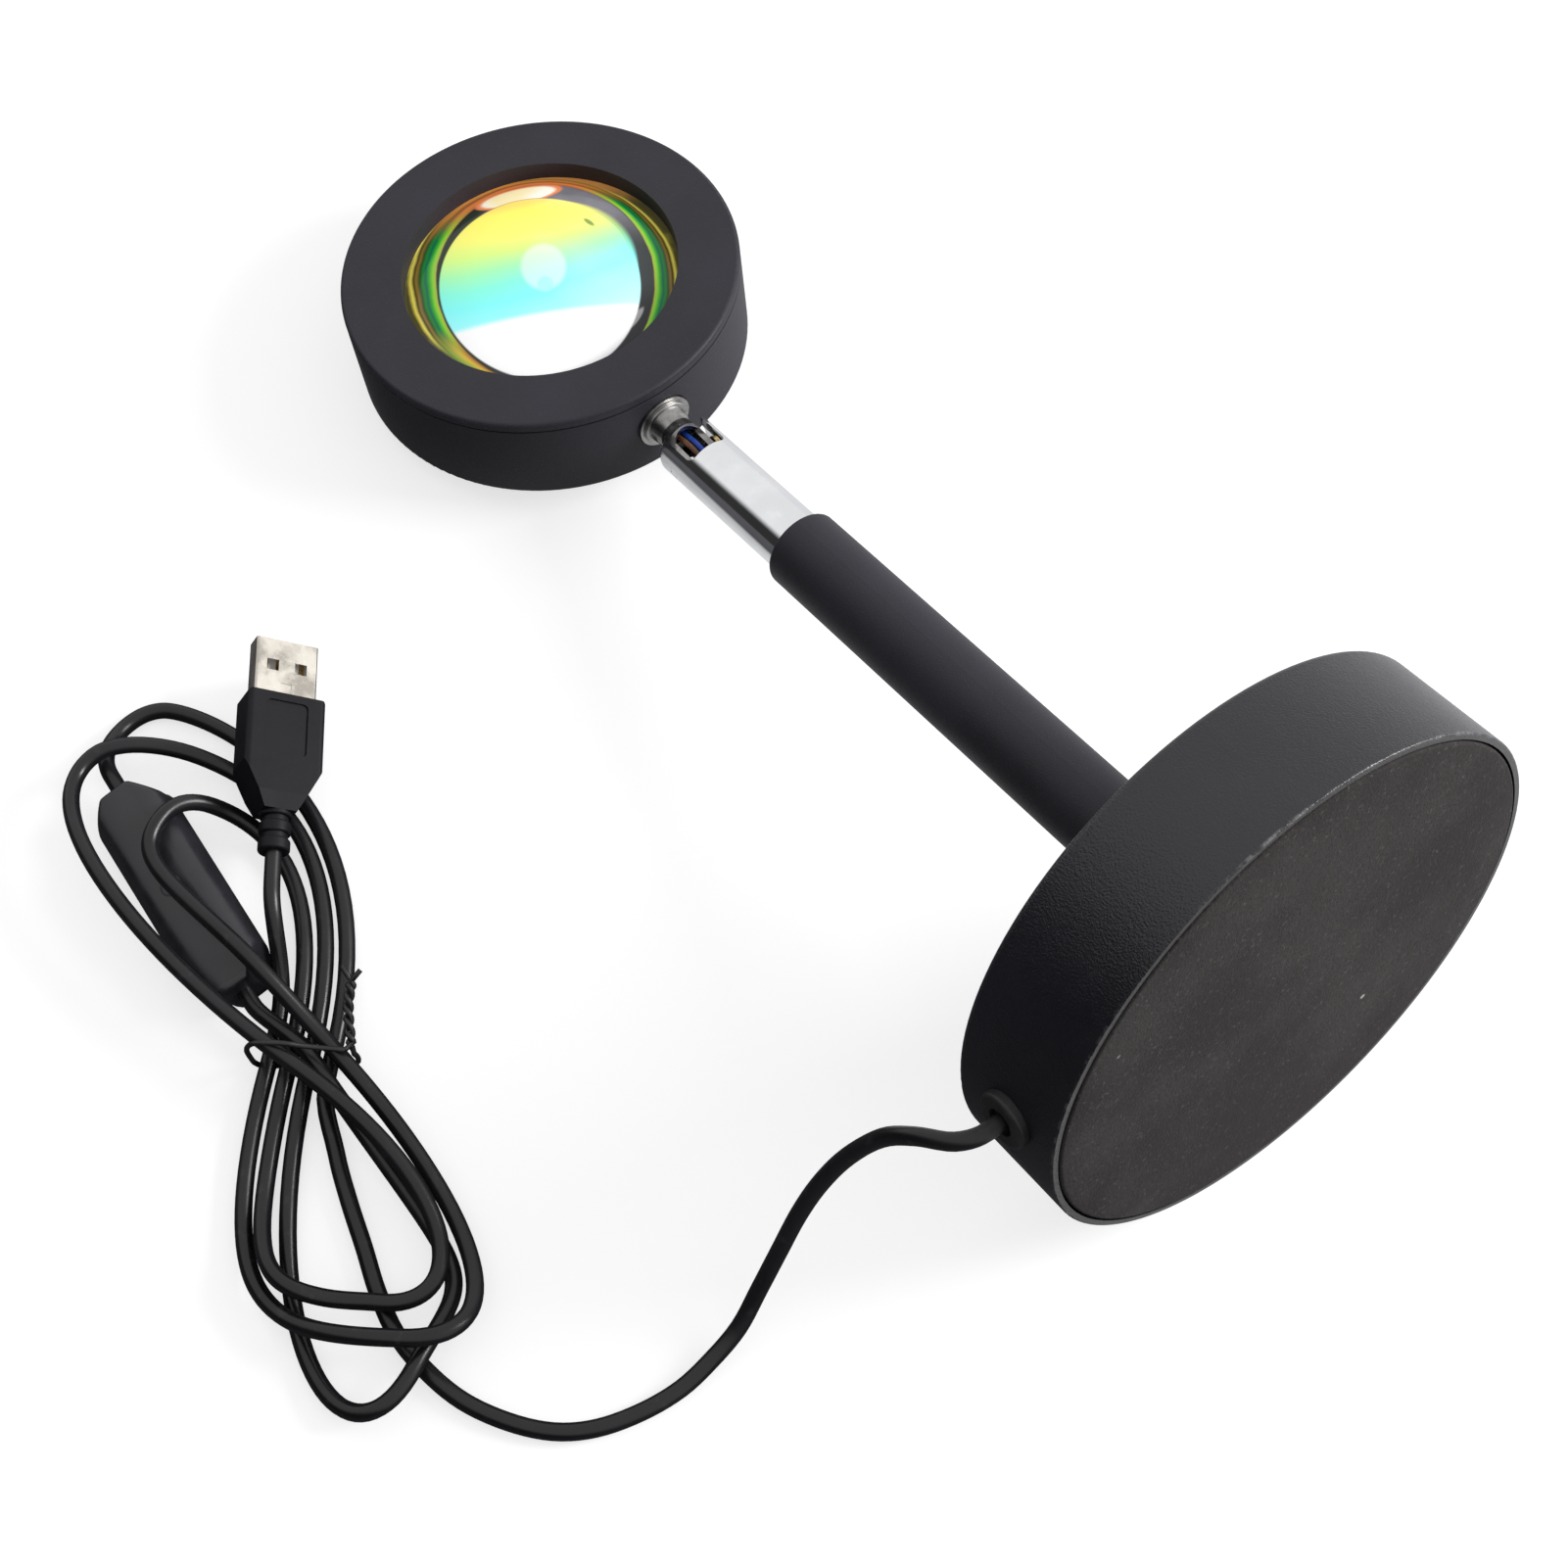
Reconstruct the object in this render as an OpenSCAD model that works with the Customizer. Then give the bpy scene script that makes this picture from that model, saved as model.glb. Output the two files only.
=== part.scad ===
// Sunset projection lamp, lying on its side as it is put down on a table.
// The table is z = 0, the lamp's own axis leans toward -X, and the lens faces up.
// Each lamp piece is drawn upright, z from the pad face toward the head, and then laid down.

/* [Base] */
// Base diameter
base_d = 100; // [94:1:112]
// Base height, from the pad face to the top
base_h = 22.5; // [21.5:0.5:28]
// Wall of the pressed steel shell
shell_wall = 1.2; // [0.8:0.1:1.6]
// Thickness of the shell's top
shell_top = 1.5; // [1:0.1:2]
// Radius of the shell's rounded top edge
shell_round = 1.2; // [0.6:0.1:1.6]
// Radius of the shell's bottom rim
rim_round = 0.3; // [0.2:0.1:0.5]
// Thickness of the foam pad
pad_t = 2.2; // [1.6:0.1:3]
// How far the pad stands out of the shell
pad_proud = 0.3; // [0.1:0.1:0.8]
// Gap around the pad inside the shell
pad_gap = 0.4; // [0.2:0.1:1]
// Thickness of the closing plate
plate_t = 1.0; // [0.8:0.1:1.4]
// Thickness of the iron weight's disc
weight_t = 8; // [6:0.5:8.5]
// Width of the weight's skirt
skirt_w = 4.4; // [4:0.2:6]
// Gap around the weight inside the shell
weight_gap = 0.6; // [0.3:0.1:1]
// Diameter of the plate screws
plate_screw_d = 2.4; // [2:0.1:2.8]

/* [Cable outlet] */
// Depth of the cable outlet below the top of the base
outlet_drop = 12; // [11:0.5:13]
// Turn of the cable outlet around the base, from the lens side
outlet_turn = -83; // [-120:1:-60]
// Diameter of the grommet's flange
grommet_d = 10; // [9:0.5:11]
// How far the grommet's flange stands out of the wall
grommet_t = 1.6; // [1.2:0.1:2.2]
// Diameter of the grommet's neck in the wall
grommet_neck_d = 7.6; // [7:0.1:8.2]
// Diameter of the grommet's mouth
grommet_mouth_d = 5; // [4.4:0.1:5.6]
// Depth of the grommet's mouth
grommet_mouth_h = 1.0; // [0.6:0.1:1.4]
// Diameter of the vent hole beside the grommet
vent_d = 1.2; // [0.8:0.1:1.6]
// Turn of the vent hole around the base
vent_turn = -96; // [-150:1:-95]

/* [Pole] */
// Outer diameter of the pole
pole_d = 15.5; // [14.5:0.5:18]
// Height of the pole's upper end above the pad face
pole_top = 128; // [110:1:145]
// Radius of the pole's upper outer edge
pole_round = 0.7; // [0.3:0.1:1]
// Diameter of the threaded nipple
nipple_d = 10; // [9:0.5:10.5]
// Bore of the threaded nipple
nipple_bore = 6; // [5:0.5:6.5]
// Length of the threaded insert in the pole's foot
foot_h = 14; // [10:1:20]
// Thickness of the flat nut under the weight
nut_h = 2.5; // [2:0.1:3]
// Width of that nut across its flats
nut_af = 14; // [13:0.5:16]
// Thickness of the washer under the weight
washer_t = 0.8; // [0.6:0.1:1]
// Diameter of that washer
washer_d = 20; // [18:1:26]

/* [Hinge] */
// Outer diameter of the chrome sleeve
sleeve_d = 12.5; // [12:0.1:13]
// Wall of the chrome sleeve
sleeve_wall = 1.5; // [1.2:0.1:1.6]
// Height of the ear ends above the pad face
ear_top = 165; // [164:0.5:168]
// How far the sleeve reaches into the pole
sleeve_in = 15; // [10:1:25]
// Height of the hinge pin above the pad face
pin_h = 160.5; // [160.5:0.1:161.5]
// Diameter of the hinge pin
pin_d = 2.0; // [1.6:0.1:2.2]
// Depth of the slot between the ears
slot_h = 9; // [9:0.1:10]
// Play between the knuckle and the slot's walls, each side
slot_gap = 0.4; // [0.3:0.05:0.6]
// Clearance of the washers on each side of the head's wall, so that the head turns
turn_gap = 0.1; // [0.05:0.05:0.3]
// Outer diameter of the knuckle
knuckle_d = 7.8; // [7.4:0.1:7.9]
// Bore of the knuckle
knuckle_bore = 5.8; // [5.4:0.1:6]
// Reach of the knuckle's open end below the pin
knuckle_tail = 4.4; // [3.6:0.1:4.4]
// Height of the open side of the knuckle above the pin
notch_h = 5; // [4:0.1:5.5]
// Depth at which the open side is cut, from the pin's axis
notch_x = 1.8; // [1.6:0.1:2]
// Diameter of the waist of the neck
neck_d = 7.0; // [6.6:0.1:7.4]
// Diameter of the neck's collar
collar_d = 10; // [9:0.5:11]
// Thickness of the neck's collar
collar_t = 0.9; // [0.7:0.1:1.2]
// Diameter of the stub in the head wall
stub_d = 7; // [6.6:0.1:7.4]
// Bore of the stub
stub_bore = 4; // [3.8:0.1:4.4]
// Diameter of the washer at the head wall
head_washer_d = 11.6; // [10.5:0.1:12]
// Thickness of that washer
head_washer_t = 0.8; // [0.6:0.1:1]
// Bend of the head from the pole's axis as it lies, toward the lens side
rest_bend = 7.2; // [0:0.1:12]
// Diameter of a single wire
wire_d = 1.1; // [0.9:0.1:1.2]

/* [Head] */
// Diameter of the head
head_d = 80; // [78:1:90]
// Thickness of the head
head_t = 21; // [20.5:0.5:26]
// Distance from the hinge pin to the seat on the head's wall
neck_l = 12.1; // [11:0.1:18]
// Wall of the head's housing
housing_wall = 1.5; // [1.2:0.1:1.8]
// Thickness of the housing's back
housing_back = 1.8; // [1.4:0.1:2.2]
// Radius of the head's outer edges
head_round = 0.8; // [0.5:0.1:1.2]
// Thickness of the bezel's visible rim
bezel_t = 2.0; // [1.6:0.1:2.6]
// Width of the dark groove under the bezel
groove_w = 0.4; // [0.3:0.1:0.6]
// Width of the bezel's flat ring
bezel_w = 12.25; // [12:0.25:14]
// Depth of the lens's rim below the bezel's face
lens_depth = 4; // [3.6:0.1:5]
// Thickness of the lens's rim
lens_rim_t = 2; // [1.6:0.1:2.4]
// Height of the lens's dome above its rim
lens_dome = 4; // [2.5:0.1:5]
// How far the lens's rim reaches under the bezel
lens_lap = 1.0; // [0.8:0.1:1.2]
// Thickness of the colour filter
filter_t = 0.4; // [0.3:0.1:0.6]
// Thickness of the gasket under the filter
gasket_t = 0.6; // [0.4:0.1:0.8]
// Thickness of the lens retaining ring
retainer_t = 1.0; // [0.8:0.1:1.4]
// Wall of the reflector cone
cone_wall = 0.8; // [0.6:0.1:1]
// Diameter of the diode board
board_d = 36; // [34:1:40]
// Thickness of the diode board
board_t = 1.6; // [1.2:0.1:1.8]
// Diameter of the diode
led_d = 9; // [7:0.5:12]
// Height of the diode
led_t = 1.0; // [0.8:0.1:1.6]
// Diameter of the heat sink
sink_d = 48; // [44:1:54]
// Thickness of the heat sink
sink_t = 2; // [1.4:0.1:2.2]
// Diameter of the housing screws
head_screw_d = 2.4; // [2:0.1:2.6]

/* [Switch] */
// Length of the switch
sw_len = 47; // [44:1:52]
// Width of the switch
sw_w = 14.5; // [13.5:0.5:15]
// Height of the switch
sw_h = 10; // [9:0.5:10]
// Radius of the switch's long edges
sw_round = 3.2; // [2.4:0.1:3.2]
// Roll of the switch as it lies, its far side up
sw_roll = 15; // [8:1:15]
// Length of the rocker
rocker_l = 15; // [13:0.5:17]
// Width of the rocker
rocker_w = 8; // [7:0.5:8.5]
// Throw of the rocker to each side
rocker_throw = 7; // [5:0.5:7]
// Diameter of the ring mark on the switch's back
ring_d = 3.9; // [3:0.1:5]

/* [Plug] */
// Width of the plug's metal shell
usb_w = 12; // [12:0.1:12.1]
// Height of the plug's metal shell
usb_h = 4.5; // [4.5:0.05:4.6]
// Visible length of the metal shell
usb_l = 12; // [11.6:0.1:12.2]
// Width of the plug's grip
grip_w = 15; // [14.5:0.5:16]
// Thickness of the plug's grip
grip_h = 8; // [7.5:0.1:8]
// Length of the grip's straight part
grip_l = 14.4; // [13:0.1:15]
// Length of the grip's slanting shoulders
shoulder_l = 8.8; // [7:0.1:10]
// Diameter of the neck behind the grip
relief_d = 6.2; // [5.8:0.1:6.2]
// Roll of the plug as it lies, its left side up
plug_roll = 30; // [24:1:30]

/* [Cord] */
// Diameter of the cord
cord_d = 3.1; // [2.8:0.1:3.1]
// Diameter of the twist tie's wire
tie_d = 1.0; // [0.8:0.1:1]

/* [Hidden] */
// Fits
fit_gap = 0.05;      // fixed pieces in their holes, and turning pieces on their shafts
sink = 0.3;          // how far joined solids of one piece reach into each other
far = 60;            // longer than any hole is deep

// Base levels, from the pad face up
base_r = base_d / 2;
plate_z = pad_t;
skirt_z = plate_z + plate_t;
weight_r = base_r - shell_wall - weight_gap;
weight_z = base_h - shell_top - weight_t;
nut_z = weight_z - washer_t - nut_h;
nipple_z = nut_z - 0.3;
plate_screw_r = weight_r - skirt_w / 2;
plate_head_t = 0.6 * plate_t;
outlet_r = base_r + grommet_t;
outlet_h = base_h - outlet_drop;
cord_exit_r = outlet_r - grommet_mouth_h;

// Pole and hinge
pole_bore = sleeve_d + 2 * fit_gap;
sleeve_r = sleeve_d / 2;
sleeve_bore_r = sleeve_r - sleeve_wall;
slot_w = knuckle_d + 2 * slot_gap;
slot_z = ear_top - slot_h;
neck_seat = 0.6;     // depth of the seat cut in the head's wall
neck_reach = neck_l + head_d / 2 - neck_seat;
neck_wall_z = neck_l;
neck_waist_z = neck_wall_z - 4.5;
collar_top = neck_wall_z - turn_gap - head_washer_t;
boss_t = 3.4;
lock_t = 0.8;
stub_nut_h = 3;
stub_nut_af = 11;
lock_z = neck_wall_z + boss_t + turn_gap;
stub_end = lock_z + lock_t + stub_nut_h + 0.7;
wire_x = 0.9;
wire_y = 0.65;

// Head levels, from the head's middle plane
head_r = head_d / 2;
face_z = head_t / 2;
back_z = -head_t / 2;
seam_z = face_z - bezel_t;
housing_top = seam_z - groove_w;
ledge_z = seam_z - 3.5;
opening_r = head_r - bezel_w;
lens_r = opening_r + lens_lap;
lens_top = face_z - lens_depth;
lens_z = lens_top - lens_rim_t;
filter_z = lens_z - filter_t;
gasket_z = filter_z - gasket_t;
retainer_z = gasket_z - retainer_t;
cup_r = lens_r + 1.75;
floor_z = back_z + housing_back;
board_z = floor_z + sink_t;
led_z = board_z + board_t;
cone_top_r = opening_r - 1.35;
cone_foot_r = led_d / 2 + 4.5;
post_r = cup_r + 3.0;
post_d = 5.2;
board_screw_r = board_d / 2 - 2.6;
screw_turns = [60, 180, 300];
head_screw_l = 9;
board_screw_d = 2.5;
board_head_d = 4;

// How the lamp lies: its base and its head both rest on a rounded rim
rim_s = base_h - shell_round;
edge_r = base_r - shell_round;
head_far = neck_reach + head_r - head_round;
head_low = head_t / 2 - head_round;
lie_a = edge_r + head_far * sin(rest_bend) - head_low * cos(rest_bend);
lie_b = pin_h + head_far * cos(rest_bend) + head_low * sin(rest_bend) - rim_s;
lean = atan2(lie_a, lie_b) - asin((head_round - shell_round) / norm([lie_a, lie_b]));
pad_up = rim_s * sin(lean) + edge_r * cos(lean) + shell_round;
head_lean = lean - rest_bend;
x_min = -pin_h * cos(lean) - head_far * cos(head_lean) - head_low * sin(head_lean) - head_round;
x_rim = (base_r - rim_round) * sin(lean) - (pad_proud + rim_round) * cos(lean) + rim_round;
x_pad = (base_r - shell_wall - pad_gap) * sin(lean);
x_max = max(x_rim, x_pad);
pad_x = -(x_min + x_max) / 2;

// Cord: the hank is drawn in its own plan, its waist at the centre and its long axis along y
cord_r = cord_d / 2;
hank_at = [-106.4, -127.4];      // from the point under the pad's centre
hank_turn = 52.5;
layer_h = 3.6;
waist_lift = 0.35;               // in layers, over the tie's wire
strand_pitch = 3.7;
slot_x = [for (k = [0:3]) 4.7 - strand_pitch * k];
slant = [for (k = [0, -1, 1]) 1.35 + 2.6 * k];
waist = [[slot_x[0], 0], [slant[0], slant[0]], [slot_x[1], 0], [slant[1], slant[1]],
         [slot_x[2], 0], [slant[2], slant[2]], [slot_x[3], 0]];
// Heading of the cord and its pull where it passes the waist
waist_head = [79.5, -54, 81, -35, 81, -46, 80];
waist_pull = [166, 157.5, 157, 126.5, 141.5, 116.5, 131.5];
// The far end of each half loop: its reach, lean, turn and width
lobe_reach = [79.5, 58.5, 72, 46, 52, 54];
lobe_lean = [24.5, 23.5, 32.5, 21.5, 31, 23];
lobe_turn = [-21, 42, -17, -27, 28, -25];
lobe_width = [22.5, 66, 57, 43.5, 37, 67];
rings_per_half = 12;

// Where the switch and the plug lie in the hank's plan
sw_at = [-23.9, 32.6];
sw_heading = -56.3;
sw_dir = [cos(sw_heading), sin(sw_heading)];
sw_top_at = sw_at - sw_dir * sw_len / 2;
sw_end_at = sw_at + sw_dir * sw_len / 2;
sw_up = (sw_w / 2 - sw_round) * sin(sw_roll) + (sw_h / 2 - sw_round) * cos(sw_roll) + sw_round;
plug_at = [-7.1, 38.5];
plug_heading = 92;
plug_dir = [cos(plug_heading), sin(plug_heading)];
plug_up = 10;

sw_wall = 1.6;
sw_screw_x = 17;
sw_screw_d = 2;
sw_hollow_l = 28;
rocker_pin_z = -sw_h / 2 + 2.4;
rocker_pin_d = 1.6;
rocker_pin_l = rocker_w + 3.4;
neck_x = 7.6;
grip_end = neck_x + shoulder_l + grip_l;
shell_x = grip_end - 4;
plug_end = grip_end + usb_l;
usb_wall = 0.3;
tongue_w = usb_w - 2 * usb_wall - 0.3;
tongue_h = usb_h - 2 * usb_wall - 0.2;
tongue_t = 1.85;

// Heights of the strands, in layers over the table, evenly spaced along each half loop
sw_layer = (sw_up - cord_r) / layer_h;
plug_layer = (plug_up - cord_r) / layer_h;
lay_1 = [
    [waist_lift, 0.2, 0, 0, 0, 0], [0, 0, 0.05, 0.3, 0.75, 1.15], [sw_layer]];
lay_2 = [
    [sw_layer], [sw_layer, 1 + waist_lift],
    [1 + waist_lift, 1.1, 0.5, 0, 0, 0.4], [1.25, 1.1, 0.5, 0, 0, 0.15],
    [waist_lift, 0.2, 0, 0, 0.3, 1.5], [2.35, 2, 2.6, 3.3, 3.3, 3.1],
    [2 + waist_lift, 2.2, 1.7, 1.2, 1, 1], [1, 1.1, 1.9, 1.8, 1, 0.15],
    [waist_lift, 0.2, 0, 0.1, 1.1, 2.9], [3.5, 3.5, 3.5, 3.5, 3.6, 3.7],
    [1 + waist_lift, 1.1, 0.5, 0.4, 0.9, 1.8], [2.2, 2, 1.2, 0.9, 0.3, 0.15],
    [waist_lift, 0.2, 0.1, 0.8, 1.7, plug_layer], [plug_layer]];

// The free run, from the point under the pad's centre: chosen by hand
run_points = [
    [-13.5, -58.5, 57.5], [-18.5, -62, 54.5], [-22.5, -65, 49.5], [-25, -69.5, 42.5],
    [-26, -74, 35], [-26, -78.5, 26.5], [-25, -83.5, 17.5], [-23.5, -89, 10],
    [-21.5, -95, 5], [-20.5, -101.5, 2.5],
    [-20, -108.5, 1.6], [-21, -116, 1.6], [-23.5, -123.5, 1.6], [-27.5, -129.5, 1.6],
    [-33.5, -134.5, 1.6], [-41, -138.5, 1.6], [-49, -140.5, 1.6], [-57, -141, 1.6],
    [-65, -139.5, 1.6], [-73, -137, 1.6], [-81.5, -134.5, 1.6], [-90, -131.5, 1.6]];

// ---------- placing ----------

module on_table() {
    translate([pad_x, 0, 0]) children();
}

module lamp() {
    on_table() translate([0, 0, pad_up]) rotate([0, -(90 + lean), 0]) children();
}

// Origin on the hinge pin, z along the neck, x out of the lens
module neck() {
    lamp() translate([0, 0, pin_h]) rotate([0, rest_bend, 0]) children();
}

// Origin in the head's centre, z out of the lens, x toward the hinge
module head() {
    neck() translate([0, 0, neck_reach]) rotate([0, 90, 0]) children();
}

module outlet(turn, height) {
    rotate([0, 0, turn]) translate([0, 0, height]) rotate([0, 90, 0]) children();
}

module in_hank() {
    on_table() translate([hank_at[0], hank_at[1], 0]) rotate([0, 0, hank_turn]) children();
}

// Origin in the switch's middle, x along the cord, z out of its back
module switch_place() {
    in_hank() translate([sw_at[0], sw_at[1], sw_up]) rotate([0, 0, sw_heading])
        rotate([sw_roll, 0, 0]) children();
}

// Origin where the cord enters the plug, x toward the plug's tip
module plug_place() {
    in_hank() translate([plug_at[0], plug_at[1], plug_up]) rotate([0, 0, plug_heading])
        rotate([plug_roll, 0, 0]) children();
}

// ---------- shapes ----------

module tube(d, bore, z0, z1) {
    difference() {
        translate([0, 0, z0]) cylinder(h = z1 - z0, d = d, $fn = 96);
        translate([0, 0, z0 - 1]) cylinder(h = z1 - z0 + 2, d = bore, $fn = 96);
    }
}

module disc(d, z0, z1) {
    translate([0, 0, z0]) cylinder(h = z1 - z0, d = d, $fn = 96);
}

// Half section of a disc of radius r, with its lower and upper outer edges rounded
module disc_section(r, z0, z1, low, top) {
    translate([0, z0 + low]) square([r, z1 - z0 - low - top]);
    translate([0, z0]) square([r - low, low + sink]);
    translate([0, z1 - top - sink]) square([r - top, top + sink]);
    translate([r - low, z0 + low]) circle(r = low, $fn = 48);
    translate([r - top, z1 - top]) circle(r = top, $fn = 48);
}

module ring_section(r0, r1, z0, z1) {
    translate([r0, z0]) square([r1 - r0, z1 - z0]);
}

module hex_nut(af, bore, z0, z1) {
    difference() {
        translate([0, 0, z0]) cylinder(h = z1 - z0, d = af / cos(30), $fn = 6);
        translate([0, 0, z0 - 1]) cylinder(h = z1 - z0 + 2, d = bore, $fn = 48);
    }
}

// Countersunk screw, its head flush with z = 0 and its shank down to -length
module flush_screw(d, head_d, head_h, length) {
    translate([0, 0, -head_h]) cylinder(h = head_h, d = head_d, $fn = 48);
    translate([0, 0, -length]) cylinder(h = length - head_h + 0.01, d = d, $fn = 48);
}

function unit(v) = v / norm(v);

function sum(v, i = 0) = i < len(v) ? v[i] + sum(v, i + 1) : 0;

function square_to(v, along) = unit(v - (v * along) * along);

function path_heading(p, i) = unit(p[min(i + 1, len(p) - 1)] - p[max(i - 1, 0)]);

// Side vector of each ring of a swept tube, carried from one to the next without a twist
function path_sides(p, start) = [
    for (i = 0, side = square_to(start, path_heading(p, 0)); i < len(p);
         i = i + 1, side = square_to(side, path_heading(p, min(i, len(p) - 1)))) side];

function ring_at(p, along, side, r, sides) = let (up = cross(side, along))
    [for (k = [0:sides - 1]) p + r * (cos(360 * k / sides) * up + sin(360 * k / sides) * side)];

// Tube of radius r swept along the points p, its ends square to the first and last stretch
module swept(p, r, sides, start = [0.2, 1, 0.1]) {
    last = len(p) - 1;
    side = path_sides(p, start);
    rings = [for (i = [0:last]) ring_at(p[i], path_heading(p, i), side[i], r, sides)];
    points = [for (ring = rings) for (q = ring) q];
    faces = concat(
        [[for (k = [0:sides - 1]) k]],
        [[for (k = [sides - 1:-1:0]) last * sides + k]],
        [for (i = [0:last - 1]) for (k = [0:sides - 1]) let (n = (k + 1) % sides)
            [i * sides + k, (i + 1) * sides + k, (i + 1) * sides + n]],
        [for (i = [0:last - 1]) for (k = [0:sides - 1]) let (n = (k + 1) % sides)
            [i * sides + k, (i + 1) * sides + n, i * sides + n]]);
    polyhedron(points, faces);
}

// Point at t on a curve from p to q that leaves along m and arrives along n
function curve(p, m, q, n, t) =
    (2 * t * t * t - 3 * t * t + 1) * p + (t * t * t - 2 * t * t + t) * m
    + (3 * t * t - 2 * t * t * t) * q + (t * t * t - t * t) * n;

// Value at x of a smooth line through evenly spaced keys
function key_at(keys, i) = keys[max(0, min(len(keys) - 1, i))];

function level(keys, x) =
    let (c = max(0, min(len(keys) - 1.001, x)), i = floor(c + 0.5), f = c - i + 0.5)
    0.5 * (1 - f) * (1 - f) * key_at(keys, i - 1) + (0.5 + f - f * f) * key_at(keys, i)
    + 0.5 * f * f * key_at(keys, i + 1);

// ---------- base ----------

module base_shell() {
    color("#3b3c42") lamp() difference() {
        rotate_extrude($fn = 192) difference() {
            disc_section(base_r, pad_proud, base_h, rim_round, shell_round);
            translate([0, pad_proud - 1])
                square([base_r - shell_wall, base_h - shell_top - pad_proud + 1]);
        }
        translate([0, 0, base_h - far / 2])
            cylinder(h = far, d = nipple_d + 4 * fit_gap, $fn = 64);
        outlet(outlet_turn, outlet_h)
            translate([0, 0, base_r - 5]) cylinder(h = 10, d = grommet_neck_d, $fn = 48);
        outlet(vent_turn, outlet_h)
            translate([0, 0, base_r - 5]) cylinder(h = 10, d = vent_d, $fn = 24);
    }
}

module base_weight() {
    pocket_w = grommet_neck_d + 4.4;
    color("#55565a") lamp() difference() {
        union() {
            disc(2 * weight_r, weight_z, weight_z + weight_t);
            tube(2 * weight_r, 2 * (weight_r - skirt_w), skirt_z, weight_z + sink);
        }
        translate([0, 0, weight_z - 1])
            cylinder(h = weight_t + 2, d = nipple_d + 4 * fit_gap, $fn = 64);
        rotate([0, 0, outlet_turn])
            translate([weight_r - skirt_w - 4, -pocket_w / 2, skirt_z - 1])
                cube([skirt_w + 10, pocket_w, outlet_h - skirt_z + 1 + pocket_w / 2]);
        for (turn = screw_turns) rotate([0, 0, turn + outlet_turn])
            translate([plate_screw_r, 0, skirt_z - 1])
                cylinder(h = 9, d = plate_screw_d + 2 * fit_gap, $fn = 32);
    }
}

module base_plate() {
    color("#2c2c2e") lamp() difference() {
        disc(2 * (base_r - shell_wall - pad_gap), plate_z, plate_z + plate_t);
        for (turn = screw_turns) rotate([0, 0, turn + outlet_turn])
            translate([plate_screw_r, 0, plate_z - 1])
                cylinder(h = plate_t + 2, d = plate_screw_d + 2 * fit_gap, $fn = 32);
        for (turn = screw_turns) rotate([0, 0, turn + outlet_turn])
            translate([plate_screw_r, 0, plate_z - 1])
                cylinder(h = 1 + plate_head_t, d = plate_screw_d + 2 + 2 * fit_gap, $fn = 32);
    }
}

module base_screws() {
    color("#9a9a9c") lamp() for (turn = screw_turns) rotate([0, 0, turn + outlet_turn])
        translate([plate_screw_r, 0, plate_z]) mirror([0, 0, 1])
            flush_screw(plate_screw_d, plate_screw_d + 2, plate_head_t, 8);
}

module base_pad() {
    color("#4c4038") lamp()
        disc(2 * (base_r - shell_wall - pad_gap), 0, pad_t);
}

// Rounded flange that follows the wall, neck through the wall and lip inside it
module cable_grommet() {
    lip_t = 1.05;
    neck_z = base_r - shell_wall - lip_t - 0.35;
    neck_r = grommet_neck_d / 2 - fit_gap;
    color("#2b2b2e") lamp() outlet(outlet_turn, outlet_h) difference() {
        union() {
            difference() {
                rotate_extrude($fn = 64)
                    disc_section(grommet_d / 2, base_r - 0.4, outlet_r, 0.2, 0.7);
                rotate([0, 90, 0]) cylinder(h = far, r = base_r + 0.01, center = true, $fn = 192);
            }
            rotate_extrude($fn = 64) {
                ring_section(0, neck_r, neck_z, base_r + sink);
                ring_section(0, neck_r + 0.8, neck_z, neck_z + lip_t);
            }
        }
        translate([0, 0, neck_z - 1]) cylinder(h = far, d = cord_d + 2 * fit_gap, $fn = 48);
        translate([0, 0, cord_exit_r]) cylinder(h = far, d = grommet_mouth_d, $fn = 48);
    }
}

// The cord inside the base: from the grommet to the nipple and up the pole
module inner_lead() {
    dip = (skirt_z + nipple_z) / 2 + 0.1;  // midway between the plate and the nipple
    level_part = [for (r = [cord_exit_r, cord_exit_r - 4, 34, 20]) [r, 0, outlet_h]];
    turn_in = [[12, 0, outlet_h - 1.2], [8, 0, dip + 0.6], [5, 0, dip - 0.1], [2.8, 0, dip + 0.3],
               [1.0, 0, dip + 1.8], [0, 0, dip + 4]];
    climb = [for (z = [dip + 8, base_h + 4, pole_top / 2, pole_top, slot_z - 6]) [0, 0, z]];
    color("#1d1d20") lamp() rotate([0, 0, outlet_turn])
        swept(concat(level_part, turn_in, climb), cord_r, 8);
}

// ---------- pole ----------

module pole_nipple() {
    color("#b9a77c") lamp() tube(nipple_d, nipple_bore, nipple_z, base_h + foot_h - 1);
}

module pole_nut() {
    color("#b5b5b8") lamp() hex_nut(nut_af, nipple_d + 2 * fit_gap, nut_z, nut_z + nut_h);
}

module pole_washer() {
    color("#b5b5b8") lamp() tube(washer_d, nipple_d + 4 * fit_gap, nut_z + nut_h, weight_z);
}

module pole_foot() {
    color("#8f8f93") lamp()
        tube(pole_bore - 2 * fit_gap, nipple_d + 2 * fit_gap, base_h, base_h + foot_h);
}

module pole_tube() {
    color("#3a3b40") lamp() rotate_extrude($fn = 128) difference() {
        disc_section(pole_d / 2, base_h, pole_top, 0.2, pole_round);
        translate([0, base_h - 1]) square([pole_bore / 2, pole_top - base_h + 2]);
    }
}

// ---------- hinge ----------

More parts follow.
